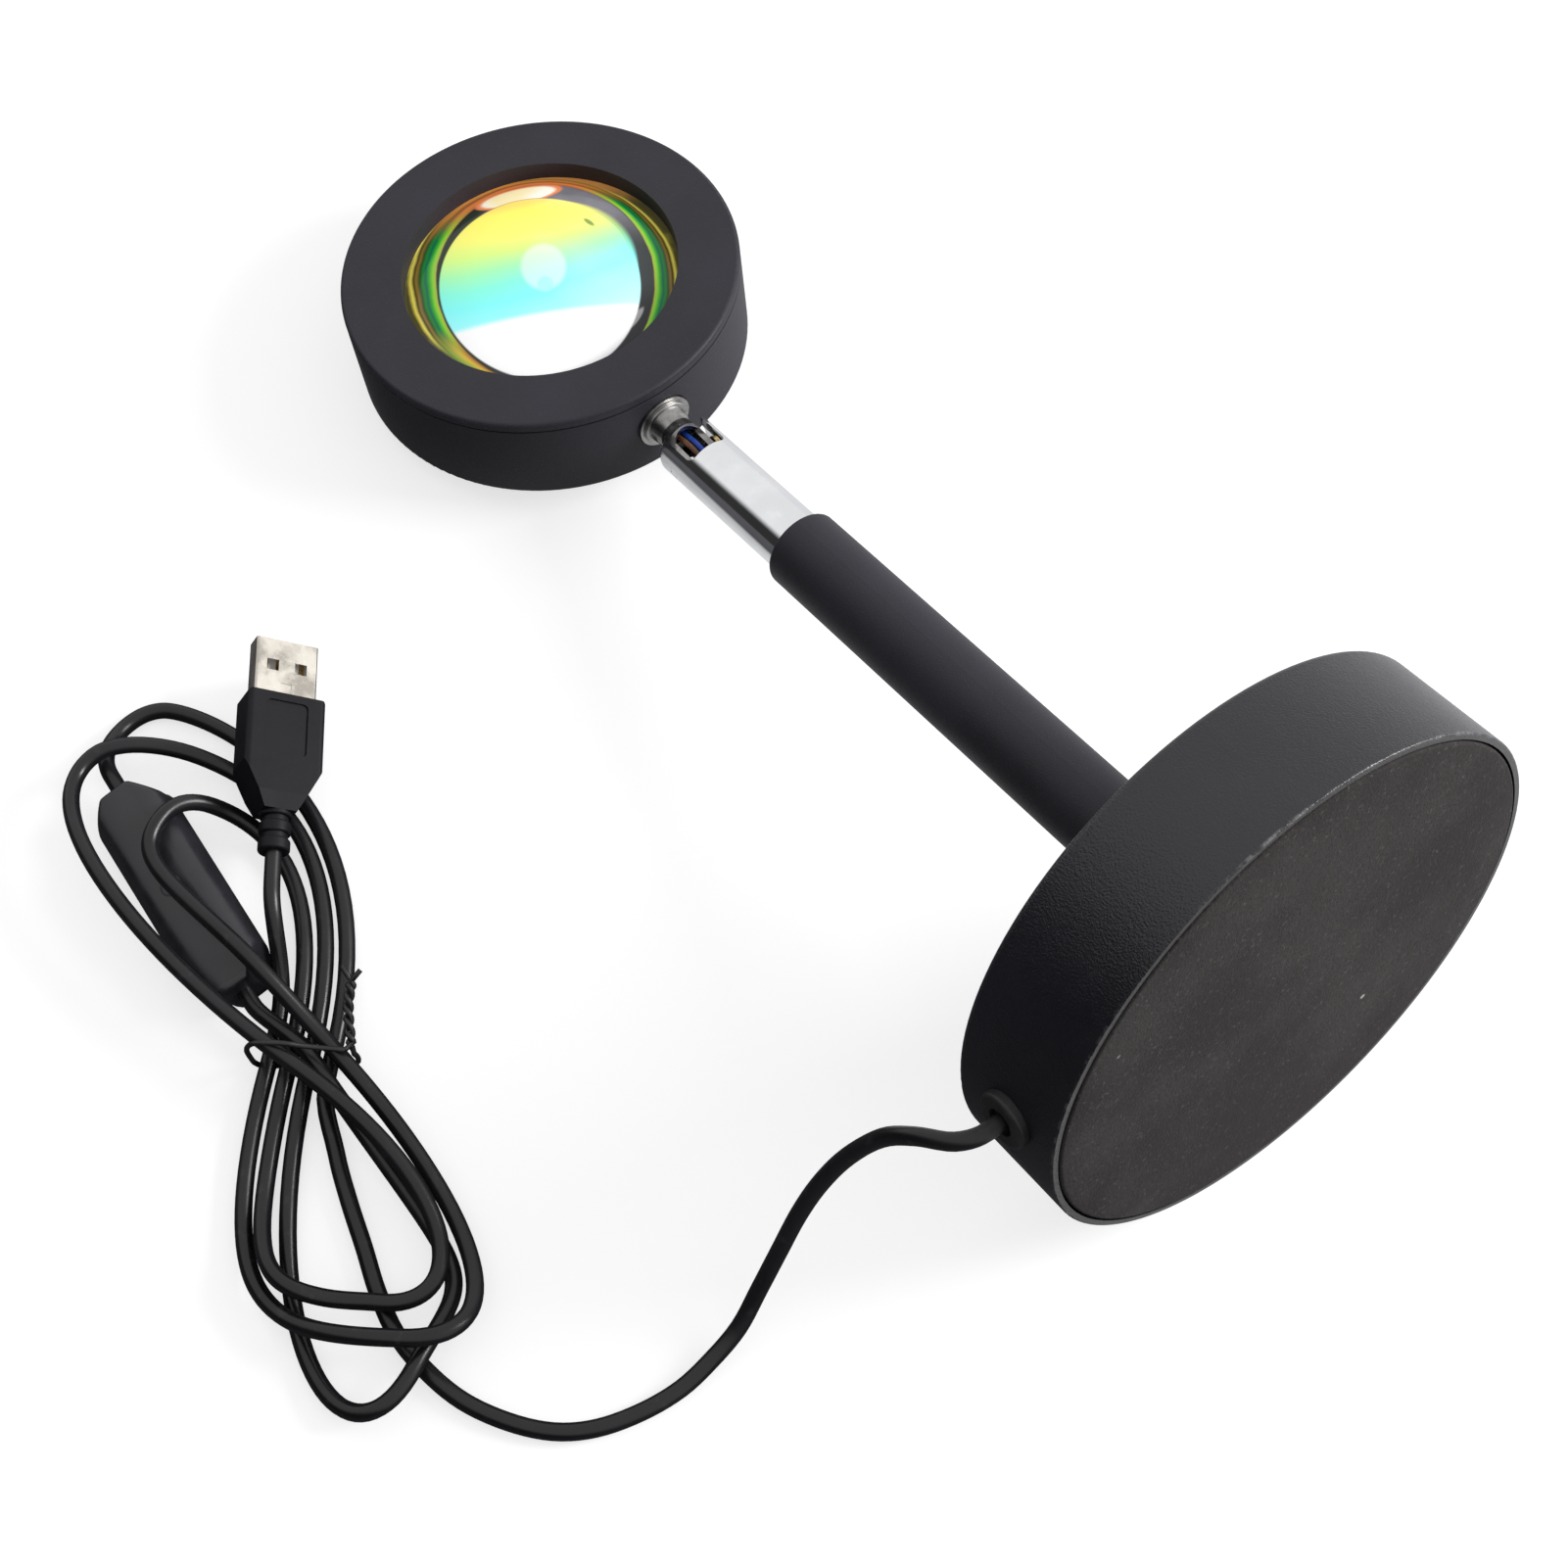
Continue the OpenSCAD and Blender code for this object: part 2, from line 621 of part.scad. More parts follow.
module joint_sleeve() {
    corner = 1.6;
    color("#d9dadd") lamp() difference() {
        rotate_extrude($fn = 128) difference() {
            disc_section(sleeve_r, pole_top - sleeve_in, ear_top, 0.3, 0.4);
            translate([0, pole_top - sleeve_in - 1])
                square([sleeve_bore_r, ear_top - pole_top + sleeve_in + 2]);
        }
        translate([-far / 2, 0, 0]) rotate([90, 0, 90]) linear_extrude(far) {
            translate([-slot_w / 2, slot_z + corner]) square([slot_w, slot_h]);
            translate([-slot_w / 2 + corner, slot_z]) square([slot_w - 2 * corner, slot_h]);
            for (s = [-1, 1]) translate([s * (slot_w / 2 - corner), slot_z + corner])
                circle(r = corner, $fn = 32);
        }
        translate([0, far / 2, pin_h]) rotate([90, 0, 0])
            cylinder(h = far, d = pin_d + fit_gap, $fn = 48);
    }
}

module joint_pin() {
    pin_l = 2 * sqrt(sleeve_r * sleeve_r - pin_d * pin_d / 4);
    color("#cfd0d3") neck() translate([0, pin_l / 2, 0]) rotate([90, 0, 0])
        cylinder(h = pin_l, d = pin_d, $fn = 48);
}

// Thin friction washers on the pin, between the knuckle and the ears
module joint_washers() {
    washer_r = 2;
    y0 = knuckle_d / 2 + 0.02;
    y1 = sqrt(sleeve_bore_r * sleeve_bore_r - washer_r * washer_r) - 0.03;
    color("#b0a070") neck() for (s = [0, 1]) rotate([0, 0, 180 * s])
        translate([0, y1, 0]) rotate([90, 0, 0])
            tube(2 * washer_r, pin_d + 2 * fit_gap, 0, y1 - y0);
}

// Hollow knuckle: open on the lens side, with a waisted neck, a collar and the stub in the head
module joint_knuckle() {
    waist_z = neck_waist_z;
    flare = (knuckle_d - neck_d) / 2;
    body_top = waist_z - 2.2;
    flange_z = collar_top - collar_t;
    knuckle_r = knuckle_d / 2;
    notch_r = knuckle_r - 0.3;
    color("#a9a7a3") neck() difference() {
        rotate_extrude($fn = 96) {
            ring_section(0, knuckle_r, -knuckle_tail, body_top);
            ring_section(0, neck_d / 2, body_top - sink, flange_z + sink);
            polygon([[0, body_top], [knuckle_r, body_top],
                     [neck_d / 2 + 0.15, body_top + flare + 0.6], [neck_d / 2, waist_z],
                     [0, waist_z]]);
            polygon([[0, waist_z], [neck_d / 2, waist_z], [neck_d / 2 + 0.35, waist_z + 1],
                     [collar_d / 2 - 0.8, flange_z], [0, flange_z]]);
            disc_section(collar_d / 2, flange_z, collar_top, 0.2, 0.2);
            ring_section(0, stub_d / 2, collar_top - sink, stub_end);
        }
        translate([0, 0, -far / 2]) cylinder(h = far / 2 + waist_z - 1, d = knuckle_bore, $fn = 64);
        cylinder(h = far, d = stub_bore, $fn = 64);
        translate([0, far / 2, 0]) rotate([90, 0, 0])
            cylinder(h = far, d = pin_d + 2 * fit_gap, $fn = 48);
        translate([notch_x, 0, 0]) rotate([90, 0, 90]) linear_extrude(knuckle_d) {
            translate([0, notch_h - notch_r]) circle(r = notch_r, $fn = 64);
            translate([-notch_r, -far / 2]) square([2 * notch_r, far / 2 + notch_h - notch_r]);
        }
    }
}

// One wire through the knuckle, past the pin and up the stub
module neck_wire(side) {
    passing_x = pin_d / 2 + wire_d / 2 + 0.3;
    swept([[passing_x, side * wire_y, -2.5], [passing_x, side * wire_y, 0],
           [passing_x, side * wire_y, 1.8], [passing_x - 0.3, side * wire_y, 3.6],
           [wire_x + 0.1, side * wire_y, 5.4], [wire_x, side * wire_y, neck_waist_z - 0.4],
           [wire_x, side * wire_y, stub_end]], wire_d / 2, 8);
}

module wire_blue() {
    color("#2f6fc4") neck() neck_wire(1);
}

module wire_brown() {
    color("#7a5238") neck() neck_wire(-1);
}

module head_washer() {
    color("#c4c4c6") neck()
        tube(head_washer_d, stub_d + 2 * fit_gap, collar_top, collar_top + head_washer_t);
}

module lock_washer() {
    color("#b5b5b8") neck()
        tube(stub_nut_af, stub_d + 2 * fit_gap, lock_z, lock_z + lock_t);
}

module stub_nut() {
    z0 = lock_z + lock_t;
    color("#b5b5b8") neck() hex_nut(stub_nut_af, stub_d + 2 * fit_gap, z0, z0 + stub_nut_h);
}

// ---------- head ----------

module head_housing() {
    wall_x = neck_reach - neck_wall_z;
    boss_w = stub_nut_af / cos(30) + 1.5;
    color("#3a3b40") head() difference() {
        union() {
            rotate_extrude($fn = 192) difference() {
                disc_section(head_r, back_z, housing_top, head_round, 0.1);
                translate([0, floor_z]) square([head_r - housing_wall - 1.2, head_t]);
                translate([0, ledge_z]) square([head_r - housing_wall, head_t]);
            }
            translate([wall_x - boss_t, -boss_w / 2, floor_z - sink])
                cube([boss_t - 1, boss_w, ledge_z - floor_z + sink]);
        }
        translate([wall_x, 0, 0]) rotate([0, 90, 0])
            cylinder(h = far, d = head_washer_d + 0.4, $fn = 64);
        translate([wall_x - far / 2, 0, 0]) rotate([0, 90, 0])
            cylinder(h = far, d = stub_d + 2 * fit_gap, $fn = 64);
        for (turn = screw_turns) rotate([0, 0, turn]) translate([post_r, 0, back_z]) {
            translate([0, 0, -1]) cylinder(h = 1 + 1.2, d = head_screw_d + 2 + 2 * fit_gap, $fn = 48);
            translate([0, 0, -1]) cylinder(h = 6, d = head_screw_d + 2 * fit_gap, $fn = 48);
        }
    }
}

// Front ring: the visible face, the collar over the lens, the cup around it and three posts
module head_bezel() {
    spigot_r = head_r - housing_wall - fit_gap;
    color("#3d3e43") head() difference() {
        union() {
            rotate_extrude($fn = 192) {
                difference() {
                    disc_section(head_r, seam_z, face_z, 0.1, head_round);
                    translate([0, seam_z - 1]) square([opening_r, bezel_t + 2]);
                }
                ring_section(opening_r, cup_r, lens_top, seam_z + sink);
                ring_section(lens_r + 0.15, cup_r, retainer_z, lens_top + sink);
                ring_section(spigot_r - 1.5, spigot_r, ledge_z, seam_z + sink);
            }
            for (turn = screw_turns) rotate([0, 0, turn]) translate([post_r, 0, floor_z])
                cylinder(h = seam_z - floor_z + sink, d = post_d, $fn = 48);
        }
        for (turn = screw_turns) rotate([0, 0, turn]) translate([post_r, 0, floor_z - 1])
            cylinder(h = head_screw_l + 2, d = head_screw_d + 2 * fit_gap, $fn = 48);
    }
}

module lens() {
    dome_r = opening_r - 0.25;
    ball = (dome_r * dome_r + lens_dome * lens_dome) / (2 * lens_dome);
    color("#b8e8d0") head() rotate_extrude($fn = 192) {
        ring_section(0, lens_r, lens_z, lens_top);
        intersection() {
            translate([0, lens_top + lens_dome - ball]) circle(r = ball, $fn = 720);
            translate([0, lens_z + 1]) square([dome_r, lens_dome + lens_rim_t]);
        }
    }
}

module colour_filter() {
    color("#e0b050") head() disc(2 * lens_r, filter_z, lens_z);
}

module lens_gasket() {
    color("#26262a") head() tube(2 * lens_r, 2 * lens_r - 4, gasket_z, filter_z);
}

module lens_retainer() {
    color("#3a3a3e") head() tube(2 * lens_r + 0.2, 2 * lens_r - 5, retainer_z, gasket_z);
}

// White cone from the diode board up to the retaining ring
module reflector() {
    rim_t = 0.8;
    rim_z = retainer_z - rim_t;
    color("#f2f2ee") head() rotate_extrude($fn = 128) {
        ring_section(cone_top_r, lens_r, rim_z, retainer_z);
        polygon([[cone_foot_r, led_z], [cone_foot_r + cone_wall + 0.5, led_z],
                 [cone_top_r + cone_wall + 0.5, rim_z + 0.3], [cone_top_r, rim_z + rim_t]]);
    }
}

module led_board() {
    color("#e8e8e6") head() difference() {
        disc(board_d, board_z, led_z);
        for (turn = [90, 270]) rotate([0, 0, turn]) translate([board_screw_r, 0, board_z - 1])
            cylinder(h = board_t + 2, d = board_screw_d + 2 * fit_gap, $fn = 32);
    }
}

module led() {
    color("#f5d742") head() disc(led_d, led_z, led_z + led_t);
}

module heat_sink() {
    color("#b7b9bd") head() difference() {
        disc(sink_d, floor_z, board_z);
        for (turn = [90, 270]) rotate([0, 0, turn]) translate([board_screw_r, 0, floor_z - 1])
            cylinder(h = sink_t + 2, d = board_screw_d + 2 * fit_gap, $fn = 32);
    }
}

module board_screws() {
    color("#c9c9cb") head() for (turn = [90, 270]) rotate([0, 0, turn])
        translate([board_screw_r, 0, led_z]) {
            cylinder(h = 1.1, d = board_head_d, $fn = 32);
            translate([0, 0, -board_t - sink_t + 0.3])
                cylinder(h = board_t + sink_t, d = board_screw_d, $fn = 32);
        }
}

module head_screws() {
    color("#26262a") head() for (turn = screw_turns) rotate([0, 0, turn])
        translate([post_r, 0, back_z]) mirror([0, 0, 1])
            flush_screw(head_screw_d, head_screw_d + 2, 1.2, head_screw_l);
}

// Leads from the stub's end down to the diode board
module board_lead(side) {
    start_x = neck_reach - stub_end - 0.3;
    land_z = led_z + wire_d / 2 + 0.05;
    land_x = board_d / 2 - 1.5;
    swept([[start_x, side * wire_y, wire_x], [start_x - 1.6, side * wire_y, wire_x - 0.3],
           [start_x - 3.5, side * (wire_y + 0.1), wire_x - 1.6],
           [start_x - 6.5, side * (wire_y + 0.4), land_z + 1.3],
           [start_x - 9.5, side * (wire_y + 0.8), land_z + 0.2], [land_x + 2, side * 2, land_z],
           [land_x, side * 2, land_z]], wire_d / 2, 8);
}

module lead_blue() {
    color("#2f6fc4") head() board_lead(1);
}

module lead_brown() {
    color("#7a5238") head() board_lead(-1);
}

// ---------- cord ----------

// Position and heading of the grommet's mouth, seen from under the pad's centre
outlet_dir = [-sin(lean) * cos(outlet_turn), sin(outlet_turn), cos(lean) * cos(outlet_turn)];
outlet_at = [-cos(lean) * outlet_h, 0, pad_up - sin(lean) * outlet_h] + outlet_dir * cord_exit_r;

function turned(v) = [v[0] * cos(hank_turn) - v[1] * sin(hank_turn),
                      v[0] * sin(hank_turn) + v[1] * cos(hank_turn), v[2]];

function flat_dir(a) = [cos(a), sin(a)];

// Half loop k: from the waist to its far end (half = 0), and back to the waist (half = 1)
function lobe_side(k) = k % 2 == 0 ? 1 : -1;
function lobe_angle(k) = 90 * lobe_side(k) + lobe_lean[k];
function lobe_end(k) = lobe_reach[k] * flat_dir(lobe_angle(k));
function lobe_pull(k) = lobe_width[k] * flat_dir(lobe_angle(k) + 90 * lobe_side(k) + lobe_turn[k]);
function waist_dir(j) = waist_pull[j] * flat_dir(waist_head[j]);

function lobe_point(k, half, t) =
    half == 0 ? curve(waist[k], waist_dir(k), lobe_end(k), lobe_pull(k), t)
    : k == 0 ? curve(lobe_end(0), lobe_pull(0), sw_top_at - sw_dir * 5, sw_dir * 22, t)
    : curve(lobe_end(k), lobe_pull(k), waist[k + 1], waist_dir(k + 1), t);

// Stretch s of the cord from the switch to the plug, at t
function stretch_2(s, t) =
    s == 0 ? sw_end_at + sw_dir * 3 * t
    : s == 1 ? curve(sw_end_at + sw_dir * 3, sw_dir * 9, waist[1], flat_dir(waist_head[1]) * 11, t)
    : s == 12 ? curve(waist[6], waist_dir(6) * 0.38, plug_at - plug_dir * 5, plug_dir * 30, t)
    : s == 13 ? plug_at - plug_dir * 5 * (1 - t)
    : lobe_point(floor(s / 2), s % 2, t);
function stretch_1(s, t) =
    s == 2 ? sw_top_at - sw_dir * 5 * (1 - t) : lobe_point(0, s, t);

function height_at(lay, s, t) =
    let (keys = concat([for (row = lay) for (v = row) v], [lay[len(lay) - 1][0]]),
         start = sum([for (i = [0:1:s - 1]) len(lay[i])]))
    cord_r + layer_h * level(keys, start + t * len(lay[s]));

function with_height(p, z) = [p[0], p[1], z];

function rings_in(s, last) =
    s == last ? 2 : last == 2 || s > 1 ? rings_per_half : s == 0 ? 1 : 4;

path_1 = concat(
    [for (s = [0:2]) for (i = [0:rings_in(s, 2) - 1]) let (t = i / rings_in(s, 2))
        with_height(stretch_1(s, t), height_at(lay_1, s, t))],
    [with_height(sw_top_at, sw_up)]);
path_2 = concat(
    [for (s = [0:13]) for (i = [0:rings_in(s, 13) - 1]) let (t = i / rings_in(s, 13))
        with_height(stretch_2(s, t), height_at(lay_2, s, t))],
    [with_height(plug_at, plug_up)]);

// The run: straight out of the grommet, over the hand-chosen points, straight into the hank
hank_start = with_height(hank_at, 0) + turned(path_1[0]);
hank_dir = turned(path_heading(path_1, 0));
run_knots = concat([outlet_at + outlet_dir * 3.5], run_points, [hank_start - hank_dir * 3.5]);
function run_pull(i) =
    i == 0 ? outlet_dir * norm(run_knots[1] - run_knots[0])
    : i == len(run_knots) - 1 ? hank_dir * norm(run_knots[i] - run_knots[i - 1])
    : (run_knots[i + 1] - run_knots[i - 1]) / 2;
path_run = concat(
    [outlet_at],
    [for (i = [0:len(run_knots) - 2]) for (t = [0, 0.5])
        curve(run_knots[i], run_pull(i), run_knots[i + 1], run_pull(i + 1), t)],
    [run_knots[len(run_knots) - 1], hank_start]);

// Least gap between stretches of the cord that are more than a bend apart
function to_stretch(p, a, b) =
    let (ab = b - a, t = max(0, min(1, (p - a) * ab / (ab * ab)))) norm(p - a - t * ab);
function path_gap(p, q, apart) =
    min([for (i = [0:len(p) - 1]) for (j = [0:len(q) - 2])
        if (apart == 0 || abs(i - j) > apart) to_stretch(p[i], q[j], q[j + 1])]) - cord_d;
function path_length(p) = sum([for (i = [0:len(p) - 2]) norm(p[i + 1] - p[i])]);

union() {  // cord_hank
    echo(str("least gap of the hank to itself ", path_gap(path_2, path_2, 4)));
    echo(str("least gap between its two cords ", path_gap(path_1, path_2, 0)));
    echo(str("cord lengths: run ", path_length(path_run), ", to the switch ",
             path_length(path_1), ", to the plug ", path_length(path_2)));
}

module cord_run() {
    color("#1b1b1e") on_table() swept(path_run, cord_r, 8);
}

module cord_hank_in() {
    color("#1b1b1e") in_hank() swept(path_1, cord_r, 6);
}

module cord_hank() {
    color("#1b1b1e") in_hank() swept(path_2, cord_r, 6);
}

// Smooth path through points: n points to each stretch, and the last point
function smooth(p, n) = concat(
    [for (i = [0:len(p) - 2]) for (j = [0:n - 1])
        curve(p[i], (p[i + 1] - p[max(i - 1, 0)]) / 2, p[i + 1],
              (p[min(i + 2, len(p) - 1)] - p[i]) / 2, j / n)],
    [p[len(p) - 1]]);

// Coated wire around the waist, its ends twisted together beside it
module twist_tie() {
    tie_r = tie_d / 2;
    plane_y = 1;
    low = tie_r + 0.12;
    right = slant[2] + cord_d + 2.85;
    left = slot_x[3] - cord_r - 1.05;
    top = cord_r + layer_h * (2 + waist_lift) + cord_d - 0.15;
    loop = [[right - 0.3, plane_y, 6.6], [right, plane_y, 4.6], [right - 0.5, plane_y, 2],
            [right - 2.6, plane_y, low], [0, plane_y, low], [left + 2, plane_y, low],
            [left + 0.3, plane_y, 2], [left, plane_y, 5], [left + 0.2, plane_y, 9.4],
            [left + 1.7, plane_y, top - 0.6], [-4.5, plane_y, top], [-1.5, plane_y, top - 0.5],
            [1.5, plane_y, top - 2], [5, plane_y, 9.7], [right - 1.6, plane_y, 8.7]];
    pair = [[right - 0.7, plane_y + 1.6, 8.2], [right - 1.2, plane_y + 5, 8.8],
            [right - 1.4, plane_y + 8.5, 9.6], [right - 1, plane_y + 11.5, 10.4]];
    twist = 1.5;
    core = smooth(pair, 6);
    last = len(core) - 1;
    strand = function (turn) [for (i = [0:last]) core[i] + (tie_r + 0.03)
        * [cos(turn + 360 * twist * i / last), 0, sin(turn + 360 * twist * i / last)]];
    color("#232326") in_hank() {
        swept(concat([[right - 0.5, plane_y + 0.9, 7.9]], smooth(loop, 2)), tie_r, 6, [0, 1, 0.2]);
        swept(concat([loop[len(loop) - 1]], strand(0), [pair[3] + [1.6, 2.6, 0.6]]), tie_r, 6, [1, 0, 0]);
        swept(concat([[right - 0.5, plane_y + 0.6, 7.4]], strand(180), [pair[3] + [-1.8, 3.4, 0.2]]),
              tie_r, 6, [1, 0, 0]);
    }
}

// ---------- switch ----------

module switch_outline() {
    shoulder = 5.5;
    tail = 6;
    polygon([[-sw_len / 2, -3], [-sw_len / 2 + shoulder, -sw_w / 2], [sw_len / 2 - tail, -sw_w / 2],
             [sw_len / 2 - 1, -4], [sw_len / 2, -3], [sw_len / 2, 3], [sw_len / 2 - 1, 4],
             [sw_len / 2 - tail, sw_w / 2], [-sw_len / 2 + shoulder, sw_w / 2],
             [-sw_len / 2, 3]]);
}

// Rounded bar the length of the switch, cut to the outline
module switch_body() {
    intersection() {
        translate([-sw_len / 2, 0, 0]) rotate([90, 0, 90]) linear_extrude(sw_len) {
            square([sw_w - 2 * sw_round, sw_h], center = true);
            square([sw_w, sw_h - 2 * sw_round], center = true);
            for (y = [-1, 1]) for (z = [-1, 1])
                translate([y * (sw_w / 2 - sw_round), z * (sw_h / 2 - sw_round)])
                    circle(r = sw_round, $fn = 48);
        }
        translate([0, 0, -sw_h]) linear_extrude(2 * sw_h) switch_outline();
    }
}

module half_space(side) {
    translate([-far, -far, side > 0 ? 0 : -2 * far]) cube([2 * far, 2 * far, 2 * far]);
}

module switch_hollow() {
    translate([-sw_hollow_l / 2, -rocker_w / 2 - 0.8, -sw_h / 2 + sw_wall])
        cube([sw_hollow_l, rocker_w + 1.6, sw_h - 2 * sw_wall]);
}

module switch_back() {
    color("#232327") switch_place() difference() {
        switch_body();
        half_space(-1);
        switch_hollow();
        translate([0, 0, sw_h / 2 - 0.25]) tube(ring_d, ring_d - 0.6, 0, 1);
        translate([sw_screw_x, 0, -1]) cylinder(h = 4, d = sw_screw_d + 2 * fit_gap, $fn = 24);
    }
}

module switch_front() {
    color("#232327") switch_place() difference() {
        switch_body();
        half_space(1);
        switch_hollow();
        translate([-rocker_l / 2 - 0.5, -rocker_w / 2 - 0.3, -sw_h])
            cube([rocker_l + 1, rocker_w + 0.6, sw_h]);
        translate([sw_screw_x, 0, -sw_h]) cylinder(h = 2 * sw_h, d = sw_screw_d + 2 * fit_gap, $fn = 24);
        translate([sw_screw_x, 0, -sw_h / 2 - 1]) cylinder(h = 2.6, d = 4.2, $fn = 32);
        translate([0, rocker_pin_l / 2 + 0.2, rocker_pin_z]) rotate([90, 0, 0])
            cylinder(h = rocker_pin_l + 0.4, d = rocker_pin_d + 2 * fit_gap, $fn = 32);
    }
}

// Rocker in the switch's front, pressed at one end, with its pin
module switch_rocker() {
    face = -sw_h / 2 + 1.1 - rocker_pin_z;
    color("#2e2e32") switch_place() translate([0, 0, rocker_pin_z]) rotate([0, rocker_throw, 0]) {
        translate([0, rocker_w / 2, 0]) rotate([90, 0, 0]) linear_extrude(rocker_w)
            polygon([[-rocker_l / 2, face], [0, face + 0.3], [rocker_l / 2, face],
                     [rocker_l / 2, face + 1.7], [3, face + 2.5], [-3, face + 2.5],
                     [-rocker_l / 2, face + 1.7]]);
        translate([0, rocker_pin_l / 2, 0]) rotate([90, 0, 0])
            cylinder(h = rocker_pin_l, d = rocker_pin_d, $fn = 32);
    }
}

// Two brass blades under the switch's back
module switch_contacts() {
    color("#c8a24a") switch_place() for (s = [0, 1]) mirror([s, 0, 0])
        translate([3, -1.5, sw_h / 2 - sw_wall - 0.7]) cube([9, 3, 0.7]);
}

module switch_screw() {
    color("#9a9a9c") switch_place() translate([sw_screw_x, 0, -sw_h / 2 + 1.6]) {
        translate([0, 0, -1.2]) cylinder(h = 1.2, d = 4, $fn = 32);
        translate([0, 0, -0.1]) cylinder(h = sw_h / 2 + 1, d = sw_screw_d, $fn = 24);
    }
}

// ---------- plug ----------

module rounded_bar(length, width, height, r) {
    rotate([90, 0, 90]) linear_extrude(length) {
        square([width - 2 * r, height], center = true);
        square([width, height - 2 * r], center = true);
        for (y = [-1, 1]) for (z = [-1, 1]) translate([y * (width / 2 - r), z * (height / 2 - r)])
            circle(r = r, $fn = 32);
    }
}

// Two rings and a neck, slanting shoulders, and the grip with a bare panel on each face
module usb_grip() {
    panel_l = 11;
    panel_w = 8;
    panel_r = 1;
    color("#2b2c30") plug_place() difference() {
        union() {
            rotate([0, 90, 0]) rotate_extrude($fn = 64) {
                ring_section(0, relief_d / 2 - 0.65, 0, neck_x + sink);
                for (i = [0, 1]) translate([0, i * 3.4])
                    disc_section(relief_d / 2 - 0.15, 0, 2.4, 0.5, 0.5);
                disc_section(relief_d / 2, 6.8, neck_x + 1.2, 0.4, 0.01);
            }
            intersection() {
                translate([neck_x, 0, 0]) rounded_bar(grip_end - neck_x, grip_w, grip_h, 1.1);
                translate([0, 0, -grip_h]) linear_extrude(2 * grip_h)
                    polygon([[neck_x, -relief_d / 2], [neck_x + shoulder_l, -grip_w / 2],
                             [grip_end - 0.5, -grip_w / 2], [grip_end, -grip_w / 2 + 0.5],
                             [grip_end, grip_w / 2 - 0.5], [grip_end - 0.5, grip_w / 2],
                             [neck_x + shoulder_l, grip_w / 2], [neck_x, relief_d / 2]]);
                translate([0, grip_w, 0]) rotate([90, 0, 0]) linear_extrude(2 * grip_w)
                    polygon([[neck_x, -relief_d / 2], [neck_x + 3, -grip_h / 2],
                             [grip_end, -grip_h / 2], [grip_end, grip_h / 2],
                             [neck_x + 3, grip_h / 2], [neck_x, relief_d / 2]]);
            }
        }
        translate([shell_x - 0.02, 0, 0]) rounded_bar(far, usb_w + 0.04, usb_h + 0.04, 0.5);
        for (s = [0, 1]) mirror([0, 0, s]) translate([grip_end - 1.6 - panel_l, 0, grip_h / 2 - 0.35])
            linear_extrude(1) {
                translate([panel_r, -panel_w / 2]) square([panel_l - 2 * panel_r, panel_w]);
                translate([0, -panel_w / 2 + panel_r]) square([panel_l, panel_w - 2 * panel_r]);
                for (x = [panel_r, panel_l - panel_r]) for (y = [-1, 1])
                    translate([x, y * (panel_w / 2 - panel_r)]) circle(r = panel_r, $fn = 32);
            }
    }
}

module usb_shell() {
    color("#d8d2c4") plug_place() difference() {
        translate([shell_x, 0, 0]) rounded_bar(plug_end - shell_x, usb_w, usb_h, 0.5);
        translate([shell_x + 0.4, 0, 0])
            rounded_bar(far, usb_w - 2 * usb_wall, usb_h - 2 * usb_wall, 0.25);
        for (y = [-1, 1]) translate([plug_end - 6.6, y * 2.7 - 1.15, -usb_h])
            cube([2.3, 2.3, 2 * usb_h]);
        for (z = [0, 1]) mirror([0, 0, z]) translate([plug_end - 10.2, -1.1, usb_h / 2 - 0.15])
            cube([1.2, 2.2, 1]);
    }
}

module usb_tongue() {
    color("#e9e9e6") plug_place() {
        translate([shell_x + 0.4, -tongue_w / 2, -tongue_h / 2]) cube([4, tongue_w, tongue_h]);
        translate([shell_x + 1, -tongue_w / 2, -tongue_h / 2])
            cube([plug_end - shell_x - 1.6, tongue_w, tongue_t]);
    }
}

module usb_contacts() {
    color("#d8b45a") plug_place() for (y = [-3.5, -1, 1, 3.5])
        translate([shell_x + 4.5, y - 0.5, -tongue_h / 2 + tongue_t]) cube([9.5, 1, 0.12]);
}

base_shell();
base_weight();
base_plate();
base_screws();
base_pad();
cable_grommet();
inner_lead();
pole_nipple();
pole_nut();
pole_washer();
pole_foot();
pole_tube();
joint_sleeve();
joint_pin();
joint_washers();
joint_knuckle();
wire_blue();
wire_brown();
head_washer();
lock_washer();
stub_nut();
head_housing();
head_bezel();
lens();
colour_filter();
lens_gasket();
lens_retainer();
reflector();
led_board();
led();
heat_sink();
board_screws();
head_screws();
lead_blue();
lead_brown();
cord_run();
cord_hank_in();
cord_hank();
twist_tie();
switch_back();
switch_front();
switch_rocker();
switch_contacts();
switch_screw();
usb_shell();
usb_tongue();
usb_contacts();
usb_grip();
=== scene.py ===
"""A sunset projection lamp lying on its side on a white table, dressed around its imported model."""

import logging
import math
from dataclasses import dataclass, field
from enum import Enum

import bmesh
import bpy
from mathutils import Matrix, Vector


